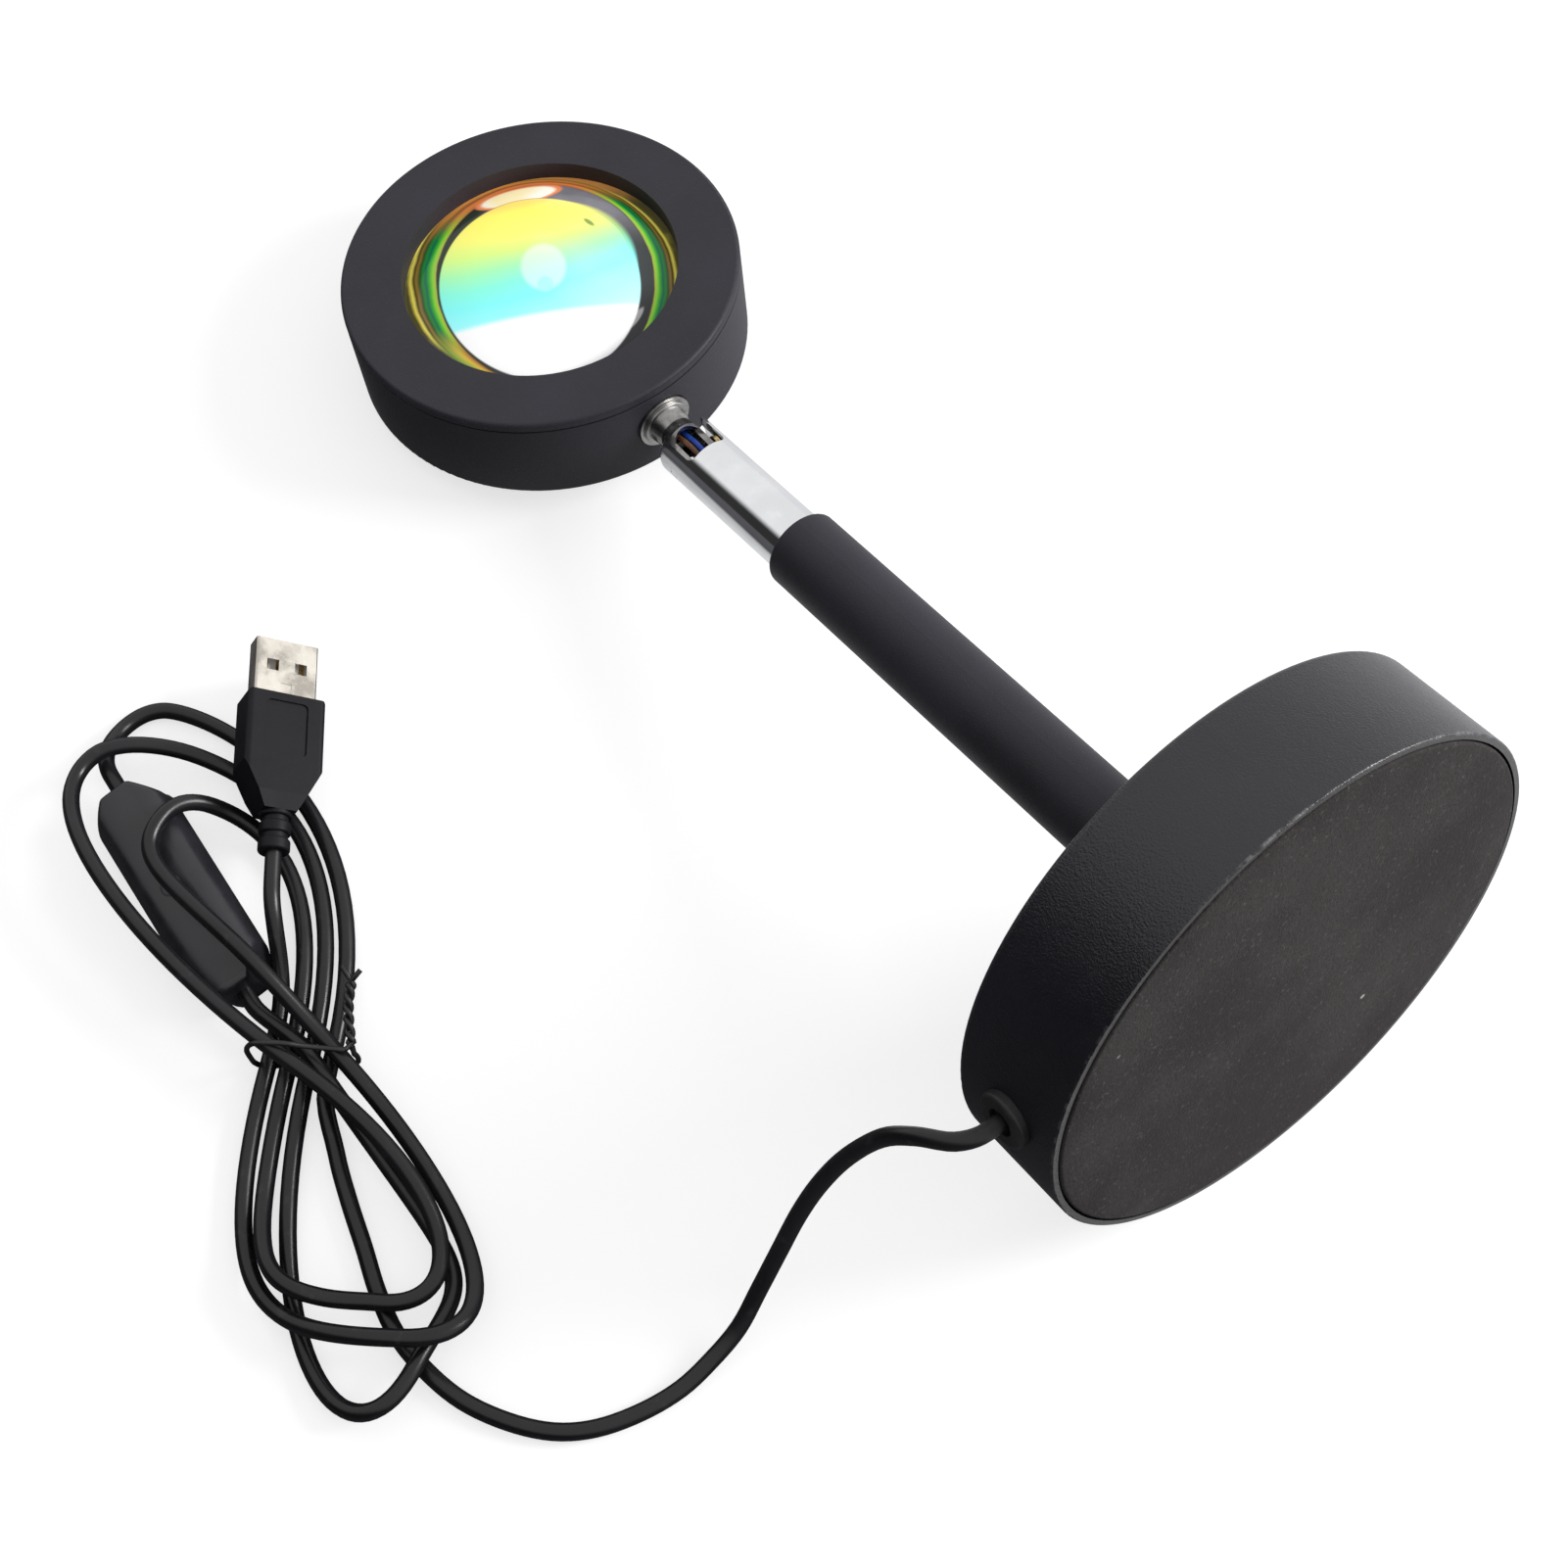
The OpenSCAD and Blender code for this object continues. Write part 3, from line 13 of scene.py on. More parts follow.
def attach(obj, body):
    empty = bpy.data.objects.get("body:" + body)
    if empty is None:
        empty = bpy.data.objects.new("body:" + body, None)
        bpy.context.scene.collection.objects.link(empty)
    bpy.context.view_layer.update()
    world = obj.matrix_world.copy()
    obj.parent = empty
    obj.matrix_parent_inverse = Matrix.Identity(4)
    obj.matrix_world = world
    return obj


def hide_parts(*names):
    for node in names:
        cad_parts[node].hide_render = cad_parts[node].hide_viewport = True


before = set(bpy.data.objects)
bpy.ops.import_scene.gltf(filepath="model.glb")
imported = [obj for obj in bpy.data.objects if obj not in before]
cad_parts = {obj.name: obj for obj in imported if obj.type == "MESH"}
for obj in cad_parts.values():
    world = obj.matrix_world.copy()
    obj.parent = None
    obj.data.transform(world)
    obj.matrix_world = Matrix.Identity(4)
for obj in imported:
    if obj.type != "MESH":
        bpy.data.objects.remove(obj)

log = logging.getLogger("lamp")
MM = 0.001
Colour = tuple[float, float, float]
Stops = tuple[tuple[float, Colour], ...]


# ---------- how the lamp lies ----------

def turn(degrees: float, axis: str) -> Matrix:
    """Rotation by an angle in degrees about the X, Y or Z axis."""
    return Matrix.Rotation(math.radians(degrees), 4, axis)


def shift(x: float, y: float, z: float) -> Matrix:
    """Translation in millimetres."""
    return Matrix.Translation(Vector((x, y, z)))


@dataclass(frozen=True)
class Lie:
    """Where each part of the lamp lies, as in the model: angles in degrees, lengths in mm."""

    lean: float = 12.4704
    pad_up: float = 53.4481
    pad_x: float = 119.135
    pin_h: float = 160.5
    bend: float = 7.2
    reach: float = 51.5
    hank_at: tuple[float, float] = (-106.4, -127.4)
    hank_turn: float = 52.5
    switch_at: tuple[float, float] = (-23.9, 32.6)
    switch_heading: float = -56.3
    switch_up: float = 5.98688
    switch_roll: float = 15.0
    plug_at: tuple[float, float] = (-7.1, 38.5)
    plug_heading: float = 92.0
    plug_up: float = 10.0
    plug_roll: float = 30.0

    def lamp(self) -> Matrix:
        """Frame with z from the pad face toward the head and x toward the lens side."""
        return shift(self.pad_x, 0, self.pad_up) @ turn(-(90 + self.lean), "Y")

    def neck(self) -> Matrix:
        """Frame on the hinge pin, z along the neck."""
        return self.lamp() @ shift(0, 0, self.pin_h) @ turn(self.bend, "Y")

    def head(self) -> Matrix:
        """Frame in the head's centre, z out of the lens and x toward the hinge."""
        return self.neck() @ shift(0, 0, self.reach) @ turn(90, "Y")

    def hank(self) -> Matrix:
        """Frame of the hank's plan, its waist at the origin."""
        return shift(self.pad_x + self.hank_at[0], self.hank_at[1], 0) @ turn(self.hank_turn, "Z")

    def switch(self) -> Matrix:
        """Frame in the switch's middle, x along the cord and z out of its back."""
        return (self.hank() @ shift(*self.switch_at, self.switch_up)
                @ turn(self.switch_heading, "Z") @ turn(self.switch_roll, "X"))

    def plug(self) -> Matrix:
        """Frame where the cord enters the plug, x toward the plug's tip."""
        return (self.hank() @ shift(*self.plug_at, self.plug_up)
                @ turn(self.plug_heading, "Z") @ turn(self.plug_roll, "X"))


LIE = Lie()


class Body(Enum):
    """The bodies that pieces ride on."""

    BASE = "base"
    KNUCKLE = "knuckle"
    HEAD = "head"
    ROCKER = "rocker"


# ---------- meshes ----------

def placed(bm: bmesh.types.BMesh, frame_at: Matrix) -> None:
    """Moves a mesh drawn in millimetres in one of the lamp's frames to its place in metres."""
    bmesh.ops.transform(bm, matrix=Matrix.Scale(MM, 4) @ frame_at, verts=bm.verts)


def finished(name: str, bm: bmesh.types.BMesh, material: bpy.types.Material,
             body: Body, sharp_degrees: float = 35.0) -> bpy.types.Object:
    """Turns a finished bmesh into a piece that rides on a body.

    Args:
        name: The piece's name.
        bm: The mesh, in metres, in the row frame. It is freed.
        material: The finish of the whole piece.
        body: The body that the piece rides on.
        sharp_degrees: Edges that turn by more stay sharp.

    Returns:
        The new object.
    """
    bmesh.ops.recalc_face_normals(bm, faces=bm.faces)
    mesh = bpy.data.meshes.new(name)
    bm.to_mesh(mesh)
    bm.free()
    mesh.shade_smooth()
    mesh.set_sharp_from_angle(angle=math.radians(sharp_degrees))
    mesh.materials.append(material)
    piece = bpy.data.objects.new(name, mesh)
    bpy.context.collection.objects.link(piece)
    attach(piece, body.value)
    return piece


def lathe(bm: bmesh.types.BMesh, profile: list[tuple[float, float]], steps: int) -> None:
    """Spins a profile of (radius, height) points in a full turn about z.

    Args:
        bm: The mesh that the turned shape is added to.
        profile: Points from one end of the axis to the other, or a closed ring of points.
        steps: How many steps the full turn has.
    """
    merge_mm = 0.0005
    verts = [bm.verts.new((r, 0, z)) for r, z in profile]
    edges = [bm.edges.new(pair) for pair in zip(verts, verts[1:])]
    bmesh.ops.spin(bm, geom=verts + edges, cent=(0, 0, 0), axis=(0, 0, 1),
                   angle=2 * math.pi, steps=steps, use_merge=True)
    bmesh.ops.remove_doubles(bm, verts=bm.verts, dist=merge_mm)


def rounded(bm: bmesh.types.BMesh, edges: list[bmesh.types.BMEdge], width: float,
            segments: int) -> None:
    """Rounds edges.

    Args:
        bm: The mesh, in millimetres.
        edges: The edges to round.
        width: The width of the round, in millimetres.
        segments: How many faces the round has across it.
    """
    bmesh.ops.bevel(bm, geom=edges, offset=width, offset_type="OFFSET", segments=segments,
                    profile=0.5, affect="EDGES", material=-1, clamp_overlap=True)


# ---------- finishes ----------

class Graph:
    """A node tree that is built by naming each node's inputs."""

    def __init__(self, tree: bpy.types.NodeTree) -> None:
        """Starts from the given tree, emptied."""
        self.tree = tree
        tree.nodes.clear()

    def add(self, kind: str, inputs: dict | None = None, **settings: object) -> bpy.types.Node:
        """Adds a node.

        Args:
            kind: The node's type.
            inputs: Values or sockets, by input name or number.
            settings: Attributes of the node itself.

        Returns:
            The new node.
        """
        node = self.tree.nodes.new(kind)
        for key, value in settings.items():
            setattr(node, key, value)
        for key, value in (inputs or {}).items():
            if isinstance(value, bpy.types.NodeSocket):
                self.tree.links.new(value, node.inputs[key])
            else:
                node.inputs[key].default_value = value
        return node

    def math(self, operation: str, a: object, b: object = 0.0) -> object:
        """One sum of two values. Returns its output socket."""
        return self.add("ShaderNodeMath", {0: a, 1: b}, operation=operation).outputs[0]

    def times(self, *values: object) -> object:
        """The product of two or more values.

        Args:
            values: Numbers or sockets, the first of them a socket.

        Returns:
            The product's socket.
        """
        product = values[0]
        for value in values[1:]:
            product = self.math("MULTIPLY", product, value)
        return product

    def noise(self, vector: object, scale: float, detail: float = 2.0,
              roughness: float = 0.5) -> object:
        """A noise value from 0 to 1.

        Args:
            vector: The coordinates.
            scale: Features to the metre.
            detail: Octaves of finer noise.
            roughness: How strong the finer noise is.

        Returns:
            The value's socket.
        """
        return self.add("ShaderNodeTexNoise", {"Vector": vector, "Scale": scale,
                                               "Detail": detail,
                                               "Roughness": roughness}).outputs["Fac"]

    def ramp(self, value: object, stops: Stops) -> object:
        """A colour ramp.

        Args:
            value: Where along the ramp, from 0 to 1.
            stops: Places along the ramp, each with its colour.

        Returns:
            The colour's socket.
        """
        node = self.add("ShaderNodeValToRGB", {"Fac": value})
        elements = node.color_ramp.elements
        elements[0].position, elements[0].color = stops[0][0], (*stops[0][1], 1)
        elements[1].position, elements[1].color = stops[-1][0], (*stops[-1][1], 1)
        for position, colour in stops[1:-1]:
            elements.new(position).color = (*colour, 1)
        return node.outputs["Color"]

    def step(self, value: object, start: object, end: object) -> object:
        """A smooth step from 0 at start to 1 at end. Returns its output socket."""
        return self.add("ShaderNodeMapRange",
                        {"Value": value, "From Min": start, "From Max": end},
                        interpolation_type="SMOOTHSTEP", clamp=True).outputs["Result"]

    def mix(self, mask: object, below: object, above: object) -> object:
        """Mixes two colours by a mask.

        Args:
            mask: How much of the upper colour shows, as a socket or a number.
            below: The lower colour, as a socket or three numbers.
            above: The upper colour, as a socket or three numbers.

        Returns:
            The colour's socket.
        """
        node = self.add("ShaderNodeMix", data_type="RGBA")
        for key, value in ((0, mask), (6, below), (7, above)):
            if isinstance(value, bpy.types.NodeSocket):
                self.tree.links.new(value, node.inputs[key])
            else:
                node.inputs[key].default_value = (*value, 1) if key else value
        return node.outputs[2]


def new_group(name: str, values: dict[str, float], outputs: dict[str, str]) -> tuple:
    """A node group with a Vector input and named value inputs.

    Args:
        name: The group's name.
        values: Its value inputs with their defaults.
        outputs: Its outputs by name, with their socket types.

    Returns:
        The group's tree, its graph, its input node and its output node.
    """
    tree = bpy.data.node_groups.new(name, "ShaderNodeTree")
    tree.interface.new_socket("Vector", in_out="INPUT", socket_type="NodeSocketVector")
    for key, default in values.items():
        socket = tree.interface.new_socket(key, in_out="INPUT", socket_type="NodeSocketFloat")
        socket.default_value = default
    for key, kind in outputs.items():
        tree.interface.new_socket(key, in_out="OUTPUT", socket_type=kind)
    graph = Graph(tree)
    return tree, graph, graph.add("NodeGroupInput"), graph.add("NodeGroupOutput")


def grain_group() -> bpy.types.NodeTree:
    """Fine grain with broader waves under it: a height for bumps and a fine speckle mask.

    Returns:
        The node group.
    """
    broad_share = 0.22
    tree, g, inside, out = new_group("surface_grain", {"Per Metre": 1500.0, "Waves": 0.3},
                                     {"Height": "NodeSocketFloat", "Speckle": "NodeSocketFloat"})
    fine = g.add("ShaderNodeTexNoise", {"Vector": inside.outputs["Vector"],
                                        "Scale": inside.outputs["Per Metre"], "Detail": 2.0,
                                        "Roughness": 0.55})
    broad_scale = g.math("MULTIPLY", inside.outputs["Per Metre"], broad_share)
    broad = g.add("ShaderNodeTexNoise", {"Vector": inside.outputs["Vector"],
                                         "Scale": broad_scale, "Detail": 1.0})
    waves = g.math("MULTIPLY", broad.outputs["Fac"], inside.outputs["Waves"])
    total = g.math("ADD", fine.outputs["Fac"], waves)
    speckle = g.step(fine.outputs["Fac"], 0.62, 0.74)
    tree.links.new(total, out.inputs["Height"])
    tree.links.new(speckle, out.inputs["Speckle"])
    return tree


def patina_group() -> bpy.types.NodeTree:
    """Slow changes over a surface: a soft cloud mask and a thin scuff mask.

    Returns:
        The node group.
    """
    scuff_turn, scuff_stretch = (0.3, 0.2, 0.6), (1.0, 0.12, 1.0)
    tree, g, inside, out = new_group("patina", {"Cloud Scale": 30.0, "Scuff Scale": 120.0},
                                     {"Cloud": "NodeSocketFloat", "Scuffs": "NodeSocketFloat"})
    cloud = g.add("ShaderNodeTexNoise", {"Vector": inside.outputs["Vector"],
                                         "Scale": inside.outputs["Cloud Scale"],
                                         "Detail": 4.0, "Roughness": 0.6})
    stretched = g.add("ShaderNodeMapping", {"Vector": inside.outputs["Vector"],
                                            "Rotation": scuff_turn,
                                            "Scale": scuff_stretch})
    scuff = g.add("ShaderNodeTexNoise", {"Vector": stretched.outputs["Vector"],
                                         "Scale": inside.outputs["Scuff Scale"],
                                         "Detail": 3.0, "Roughness": 0.7})
    tree.links.new(g.step(cloud.outputs["Fac"], 0.35, 0.65), out.inputs["Cloud"])
    tree.links.new(g.step(scuff.outputs["Fac"], 0.66, 0.74), out.inputs["Scuffs"])
    return tree


GRAIN = grain_group()
PATINA = patina_group()


def paler(colour: Colour, gain: float, lift: float) -> Colour:
    """A colour with each channel times a gain and plus a lift, none of them over 1."""
    return tuple(min(1.0, c * gain + lift) for c in colour)


def local_coordinates(g: Graph, coords: object, frame_at: Matrix) -> object:
    """Coordinates in millimetres in one of the lamp's frames.

    Args:
        g: The material's graph.
        coords: Object coordinates, in metres in the row frame.
        frame_at: The frame, with its place in millimetres.

    Returns:
        The vector socket.
    """
    node = g.add("ShaderNodeMapping", {
        "Vector": coords, "Location": frame_at.translation * MM,
        "Rotation": frame_at.to_euler(), "Scale": (MM, MM, MM)}, vector_type="TEXTURE")
    return node.outputs["Vector"]


@dataclass(frozen=True)
class Finish:
    """A surface finish: its colours, gloss and grain. Lengths are in millimetres."""

    name: str
    dark: Colour
    light: Colour
    roughness: float
    roughness_spread: float = 0.06
    metallic: float = 0.0
    specular: float = 0.5
    grain_mm: float = 0.4
    grain_depth: float = 0.01
    cloud_mm: float = 30.0
    scuff: float = 0.04
    stretch: tuple[float, float, float] = (1.0, 1.0, 1.0)
    speckle: float = 0.4
    speckle_gain: float = 1.8
    speckle_lift: float = 0.012
    scuff_lift: float = 0.12
    scuffs_per_cloud: float = 6.0

    def extra_colour(self, g: Graph, coords: object, colour: object) -> object:
        """What a special finish lays over the base colour. Returns the colour socket."""
        return colour

    def material(self) -> bpy.types.Material:
        """Builds the finish as a material, once.

        Returns:
            The new material, or the one that was built before.
        """
        known = bpy.data.materials.get(f"{self.name}_finish")
        if known:
            return known
        material = bpy.data.materials.new(f"{self.name}_finish")
        material.use_nodes = True
        g = Graph(material.node_tree)
        coords = g.add("ShaderNodeTexCoord").outputs["Object"]
        scaled = g.add("ShaderNodeMapping", {"Vector": coords, "Scale": self.stretch})
        grain = g.add("ShaderNodeGroup", node_tree=GRAIN)
        g.tree.links.new(scaled.outputs["Vector"], grain.inputs["Vector"])
        grain.inputs["Per Metre"].default_value = 1 / (self.grain_mm * MM)
        patina = g.add("ShaderNodeGroup", node_tree=PATINA)
        g.tree.links.new(coords, patina.inputs["Vector"])
        patina.inputs["Cloud Scale"].default_value = 1 / (self.cloud_mm * MM)
        patina.inputs["Scuff Scale"].default_value = self.scuffs_per_cloud / (self.cloud_mm * MM)
        colour = g.mix(patina.outputs["Cloud"], self.dark, self.light)
        colour = g.mix(g.times(grain.outputs["Speckle"], self.speckle), colour,
                       paler(self.light, self.speckle_gain, self.speckle_lift))
        colour = g.mix(g.times(patina.outputs["Scuffs"], self.scuff), colour,
                       paler(self.light, 1.0, self.scuff_lift))
        colour = self.extra_colour(g, coords, colour)
        low, high = self.roughness - self.roughness_spread, self.roughness + self.roughness_spread
        gloss = g.add("ShaderNodeMapRange", {"Value": patina.outputs["Cloud"],
                                             "To Min": low, "To Max": high})
        bump = g.add("ShaderNodeBump", {"Height": grain.outputs["Height"], "Strength": 1.0,
                                        "Distance": self.grain_depth * MM})
        shader = g.add("ShaderNodeBsdfPrincipled",
                       {"Base Color": colour, "Metallic": self.metallic,
                        "Roughness": gloss.outputs["Result"],
                        "Normal": bump.outputs["Normal"],
                        "Specular IOR Level": self.specular})
        g.add("ShaderNodeOutputMaterial", {"Surface": shader.outputs["BSDF"]})
        return material


@dataclass(frozen=True)
class WornCoatWithPaintedLight(Finish):
    """The base's coat, with a pale line along the rim by the pad, partly wear and partly a painted
    highlight, and painted shade beside the pad.

    Each band is where it starts and where it is full, in mm in the lamp's frame.
    """

    line_heights: tuple[float, float] = (0.85, 0.55)
    line_radii: tuple[float, float] = (49.5, 49.75)
    wear_and_highlight_colour: Colour = (0.2, 0.2, 0.205)
    wear_and_highlight_share: float = 0.6
    gap_shade_heights: tuple[float, float] = (0.5, 0.25)
    gap_shade_colour: Colour = (0.003, 0.003, 0.0035)

    def extra_colour(self, g: Graph, coords: object, colour: object) -> object:
        """A thin pale line, broken by noise, on the shell's rim beside the pad, partly wear and
        partly a painted highlight, over painted shade in the gap by the pad.

        Args:
            g: The material's graph.
            coords: Object coordinates.
            colour: The colour under it.

        Returns:
            The colour's socket.
        """
        local = local_coordinates(g, coords, LIE.lamp())
        parts = g.add("ShaderNodeSeparateXYZ", {"Vector": local})
        height = parts.outputs["Z"]
        flat = g.add("ShaderNodeCombineXYZ", {"X": parts.outputs["X"], "Y": parts.outputs["Y"]})
        radius = g.add("ShaderNodeVectorMath", {0: flat.outputs["Vector"]},
                       operation="LENGTH").outputs["Value"]
        near = g.times(g.step(height, *self.line_heights), g.step(radius, *self.line_radii))
        broken = g.times(g.step(g.noise(coords, 420.0, 4.0, 0.7), 0.45, 0.62),
                         g.step(g.noise(coords, 24.0, 2.0), 0.3, 0.62))
        # Painted shade: the shell darkens in the gap just above the pad.
        colour = g.mix(g.step(height, *self.gap_shade_heights), colour, self.gap_shade_colour)
        # The pale line: partly wear, partly a painted highlight on the rim's rounding.
        return g.mix(g.times(near, broken, self.wear_and_highlight_share), colour, self.wear_and_highlight_colour)


@dataclass(frozen=True)
class FoamSheet(Finish):
    """Fine closed foam with pale smudges, dust and specks of lint."""

    cells_per_metre: float = 1300.0
    cell_share: float = 0.4
    cell_dark: float = 0.45
    smudge_share: float = 0.45
    dust_share: float = 0.5
    dust_colour: Colour = (0.12, 0.11, 0.105)
    lint_per_metre: float = 90.0
    lint_share: float = 0.8
    lint_colour: Colour = (0.45, 0.43, 0.41)

    def extra_colour(self, g: Graph, coords: object, colour: object) -> object:
        """Cells, broad pale smudges, dust and a few pale specks.

        Args:
            g: The material's graph.
            coords: Object coordinates.
            colour: The colour under them.

        Returns:
            The colour's socket.
        """
        cells = g.add("ShaderNodeTexVoronoi", {"Vector": coords, "Scale": self.cells_per_metre})
        colour = g.mix(g.times(g.step(cells.outputs["Distance"], 0.5, 0.1), self.cell_share),
                       colour, paler(self.dark, self.cell_dark, 0.0))
        smudge = g.step(g.noise(coords, 22.0, 5.0, 0.65), 0.56, 0.72)
        colour = g.mix(g.times(smudge, self.smudge_share), colour,
                       paler(self.light, self.speckle_gain, self.speckle_lift))
        dust = g.step(g.noise(coords, 900.0, 2.0, 0.8), 0.6, 0.72)
        colour = g.mix(g.times(dust, self.dust_share), colour, self.dust_colour)
        specks = g.add("ShaderNodeTexVoronoi", {"Vector": coords, "Scale": self.lint_per_metre})
        lint = g.times(g.step(specks.outputs["Distance"], 0.06, 0.03),
                       g.step(g.noise(coords, 30.0), 0.52, 0.6))
        return g.mix(g.times(lint, self.lint_share), colour, self.lint_colour)


@dataclass(frozen=True)
class Oval:
    """An oval in the lens's picture: its centre, its half width and height, and its turn."""

    at: tuple[float, float]
    radii: tuple[float, float]
    degrees: float = 0.0


@dataclass(frozen=True)
class SunsetOptic:
    """The lens as it shows the coloured disc, the diode and its own rim.

    Across and down run as the lens is seen, in fifths of a millimetre from its middle. Each
    list of stops is a colour ramp: places from 0 to 1, each with its colour.
    """

    name: str = "sunset_optic"
    across: tuple[float, float, float] = (2.922, 4.163, 0.0)
    down: tuple[float, float, float] = (2.964, -2.604, 0.0)
    rim: Oval = Oval((0.0, 0.0), (139.8, 108.4))
    ring_start: Oval = Oval((3.7, 4.6), (111.0, 103.0))
    disc: Oval = Oval((-1.5, 11.0), (103.0, 91.0))
    soft_side: Oval = Oval((62.0, -40.0), (60.0, 50.0))
    glare: Oval = Oval((-24.5, -83.5), (44.0, 11.0), -13.0)
    diode: Oval = Oval((4.0, -0.5), (23.6, 24.2))
    diode_notch: Oval = Oval((6.0, 17.5), (8.0, 7.5))
    mark: Oval = Oval((50.0, -51.0), (6.0, 2.2), 35.0)
    scratch: Oval = Oval((33.0, -3.0), (62.0, 66.0))
    glint: Oval = Oval((96.0, 42.0), (13.0, 3.0), -55.0)
    bow: float = 0.0019
    slope: float = 0.29
    wave: float = 12.0
    disc_span: tuple[float, float] = (-80.0, 72.0)
    white_slope: float = 0.16
    white_edge: tuple[float, float] = (42.0, 49.0)
    ring_ripple: float = 0.16
    above_slope: float = 0.2
    roughness: float = 0.25
    specular: float = 0.15
    coat: float = 0.45
    coat_roughness: float = 0.02
    coat_ior: float = 1.45
    glow: float = 0.18
    disc_stops: Stops = (
        (0.0, (1.0, 0.75, 0.13)), (0.07, (1.0, 0.93, 0.13)), (0.24, (1.0, 0.96, 0.18)),
        (0.38, (0.72, 0.98, 0.25)), (0.5, (0.4, 0.98, 0.48)), (0.6, (0.26, 0.98, 0.75)),
        (0.7, (0.24, 0.97, 0.95)), (0.82, (0.36, 0.98, 1.0)), (1.0, (0.55, 0.98, 1.0)))
    glare_stops: Stops = ((0.35, (1.0, 0.86, 0.5)), (0.6, (1.0, 0.98, 0.85)))
    side_stops: Stops = (
        (0.0, (0.04, 0.05, 0.04)), (0.06, (0.42, 0.5, 0.05)), (0.17, (0.24, 0.64, 0.04)),
        (0.3, (0.03, 0.4, 0.02)), (0.42, (0.0, 0.14, 0.08)), (0.52, (0.01, 0.24, 0.03)),
        (0.62, (0.03, 0.08, 0.02)), (0.72, (0.3, 0.18, 0.03)), (0.8, (0.06, 0.05, 0.01)),
        (0.89, (0.95, 0.82, 0.14)), (0.96, (0.4, 0.34, 0.05)), (1.0, (0.1, 0.09, 0.03)))
    above_stops: Stops = (
        (0.0, (0.42, 0.1, 0.04)), (0.3, (0.8, 0.24, 0.07)), (0.5, (0.3, 0.1, 0.03)),
        (0.65, (0.78, 0.3, 0.06)), (0.85, (0.4, 0.2, 0.04)), (1.0, (0.8, 0.36, 0.1)))
    low_stops: Stops = (
        (0.0, (0.3, 0.1, 0.03)), (0.4, (0.75, 0.5, 0.06)), (0.7, (0.3, 0.45, 0.06)),
        (1.0, (0.05, 0.05, 0.04)))
    wall_stops: Stops = ((0.3, (0.15, 0.145, 0.165)), (0.75, (0.21, 0.205, 0.23)))

    def material(self) -> bpy.types.Material:
        """Builds the lens's material, once.

        Returns:
            The new material, or the one that was built before.
        """
        known = bpy.data.materials.get(f"{self.name}_finish")
        if known:
            return known
        material = bpy.data.materials.new(f"{self.name}_finish")
        material.use_nodes = True
        g = Graph(material.node_tree)
        coords = g.add("ShaderNodeTexCoord").outputs["Object"]
        local = local_coordinates(g, coords, LIE.head())
        colour = self._picture(g, coords, self._dot(g, local, self.across),
                               self._dot(g, local, self.down))
        # The picture also glows a little, a painted light: the lamp is not lit.
        shader = g.add("ShaderNodeBsdfPrincipled", {
            "Base Color": colour, "Roughness": self.roughness,
            "Specular IOR Level": self.specular, "Coat Weight": self.coat,
            "Coat Roughness": self.coat_roughness, "Coat IOR": self.coat_ior,
            "Emission Color": colour, "Emission Strength": self.glow})
        g.add("ShaderNodeOutputMaterial", {"Surface": shader.outputs["BSDF"]})
        return material

    @staticmethod
    def _dot(g: Graph, vector: object, axis: tuple[float, float, float]) -> object:
        """The part of a vector along an axis. Returns its socket."""
        return g.add("ShaderNodeVectorMath", {0: vector, 1: axis},
                     operation="DOT_PRODUCT").outputs["Value"]

    @staticmethod
    def _sloped(g: Graph, u: object, v: object, slope: float) -> object:
        """Distance down the picture, plus a share of the distance across. Returns its socket."""
        return g.math("ADD", v, g.times(u, slope))

    @staticmethod
    def _oval(g: Graph, u: object, v: object, oval: Oval) -> object:
        """Distance from an oval's centre in its own radii.

        Args:
            g: The material's graph.
            u: Distance across the picture.
            v: Distance down the picture.
            oval: The oval, its turn in degrees clockwise as seen.

        Returns:
            A socket that is 1 on the oval's edge.
        """
        c, s = math.cos(math.radians(oval.degrees)), math.sin(math.radians(oval.degrees))
        x, y = g.math("SUBTRACT", u, oval.at[0]), g.math("SUBTRACT", v, oval.at[1])
        along = g.math("ADD", g.times(x, c), g.times(y, s))
        over = g.math("SUBTRACT", g.times(y, c), g.times(x, s))
        both = g.add("ShaderNodeCombineXYZ", {"X": g.math("DIVIDE", along, oval.radii[0]),
                                              "Y": g.math("DIVIDE", over, oval.radii[1])})
        return g.add("ShaderNodeVectorMath", {0: both.outputs["Vector"]},
                     operation="LENGTH").outputs["Value"]

    def _picture(self, g: Graph, coords: object, u: object, v: object) -> object:
        """The whole picture in the lens.

        Args:
            g: The material's graph.
            coords: Object coordinates.
            u: Distance across the picture.
            v: Distance down the picture.

        Returns:
            The colour socket.
        """
        inside = self._disc(g, coords, u, v)
        band = self._edge_band(g, coords, u, v)
        edge = self._oval(g, u, v, self.disc)
        soft = g.step(self._oval(g, u, v, self.soft_side), 1.0, 0.3)
        full = g.add("ShaderNodeMapRange", {"Value": soft, "To Min": 0.984, "To Max": 0.96})
        reach = g.add("ShaderNodeMapRange", {"Value": soft, "To Min": 1.006, "To Max": 1.1})
        mask = g.step(edge, reach.outputs["Result"], full.outputs["Result"])
        colour = g.mix(mask, band, inside)
        patch = self._oval(g, u, v, self.glare)
        above = g.step(edge, 0.995, 1.01)
        colour = g.mix(g.times(g.step(patch, 1.12, 1.0), above), colour, (0.85, 0.26, 0.1))
        cream = g.ramp(g.noise(coords, 90.0, 1.0), self.glare_stops)
        return g.mix(g.times(g.step(patch, 0.98, 0.82), above), colour, cream)

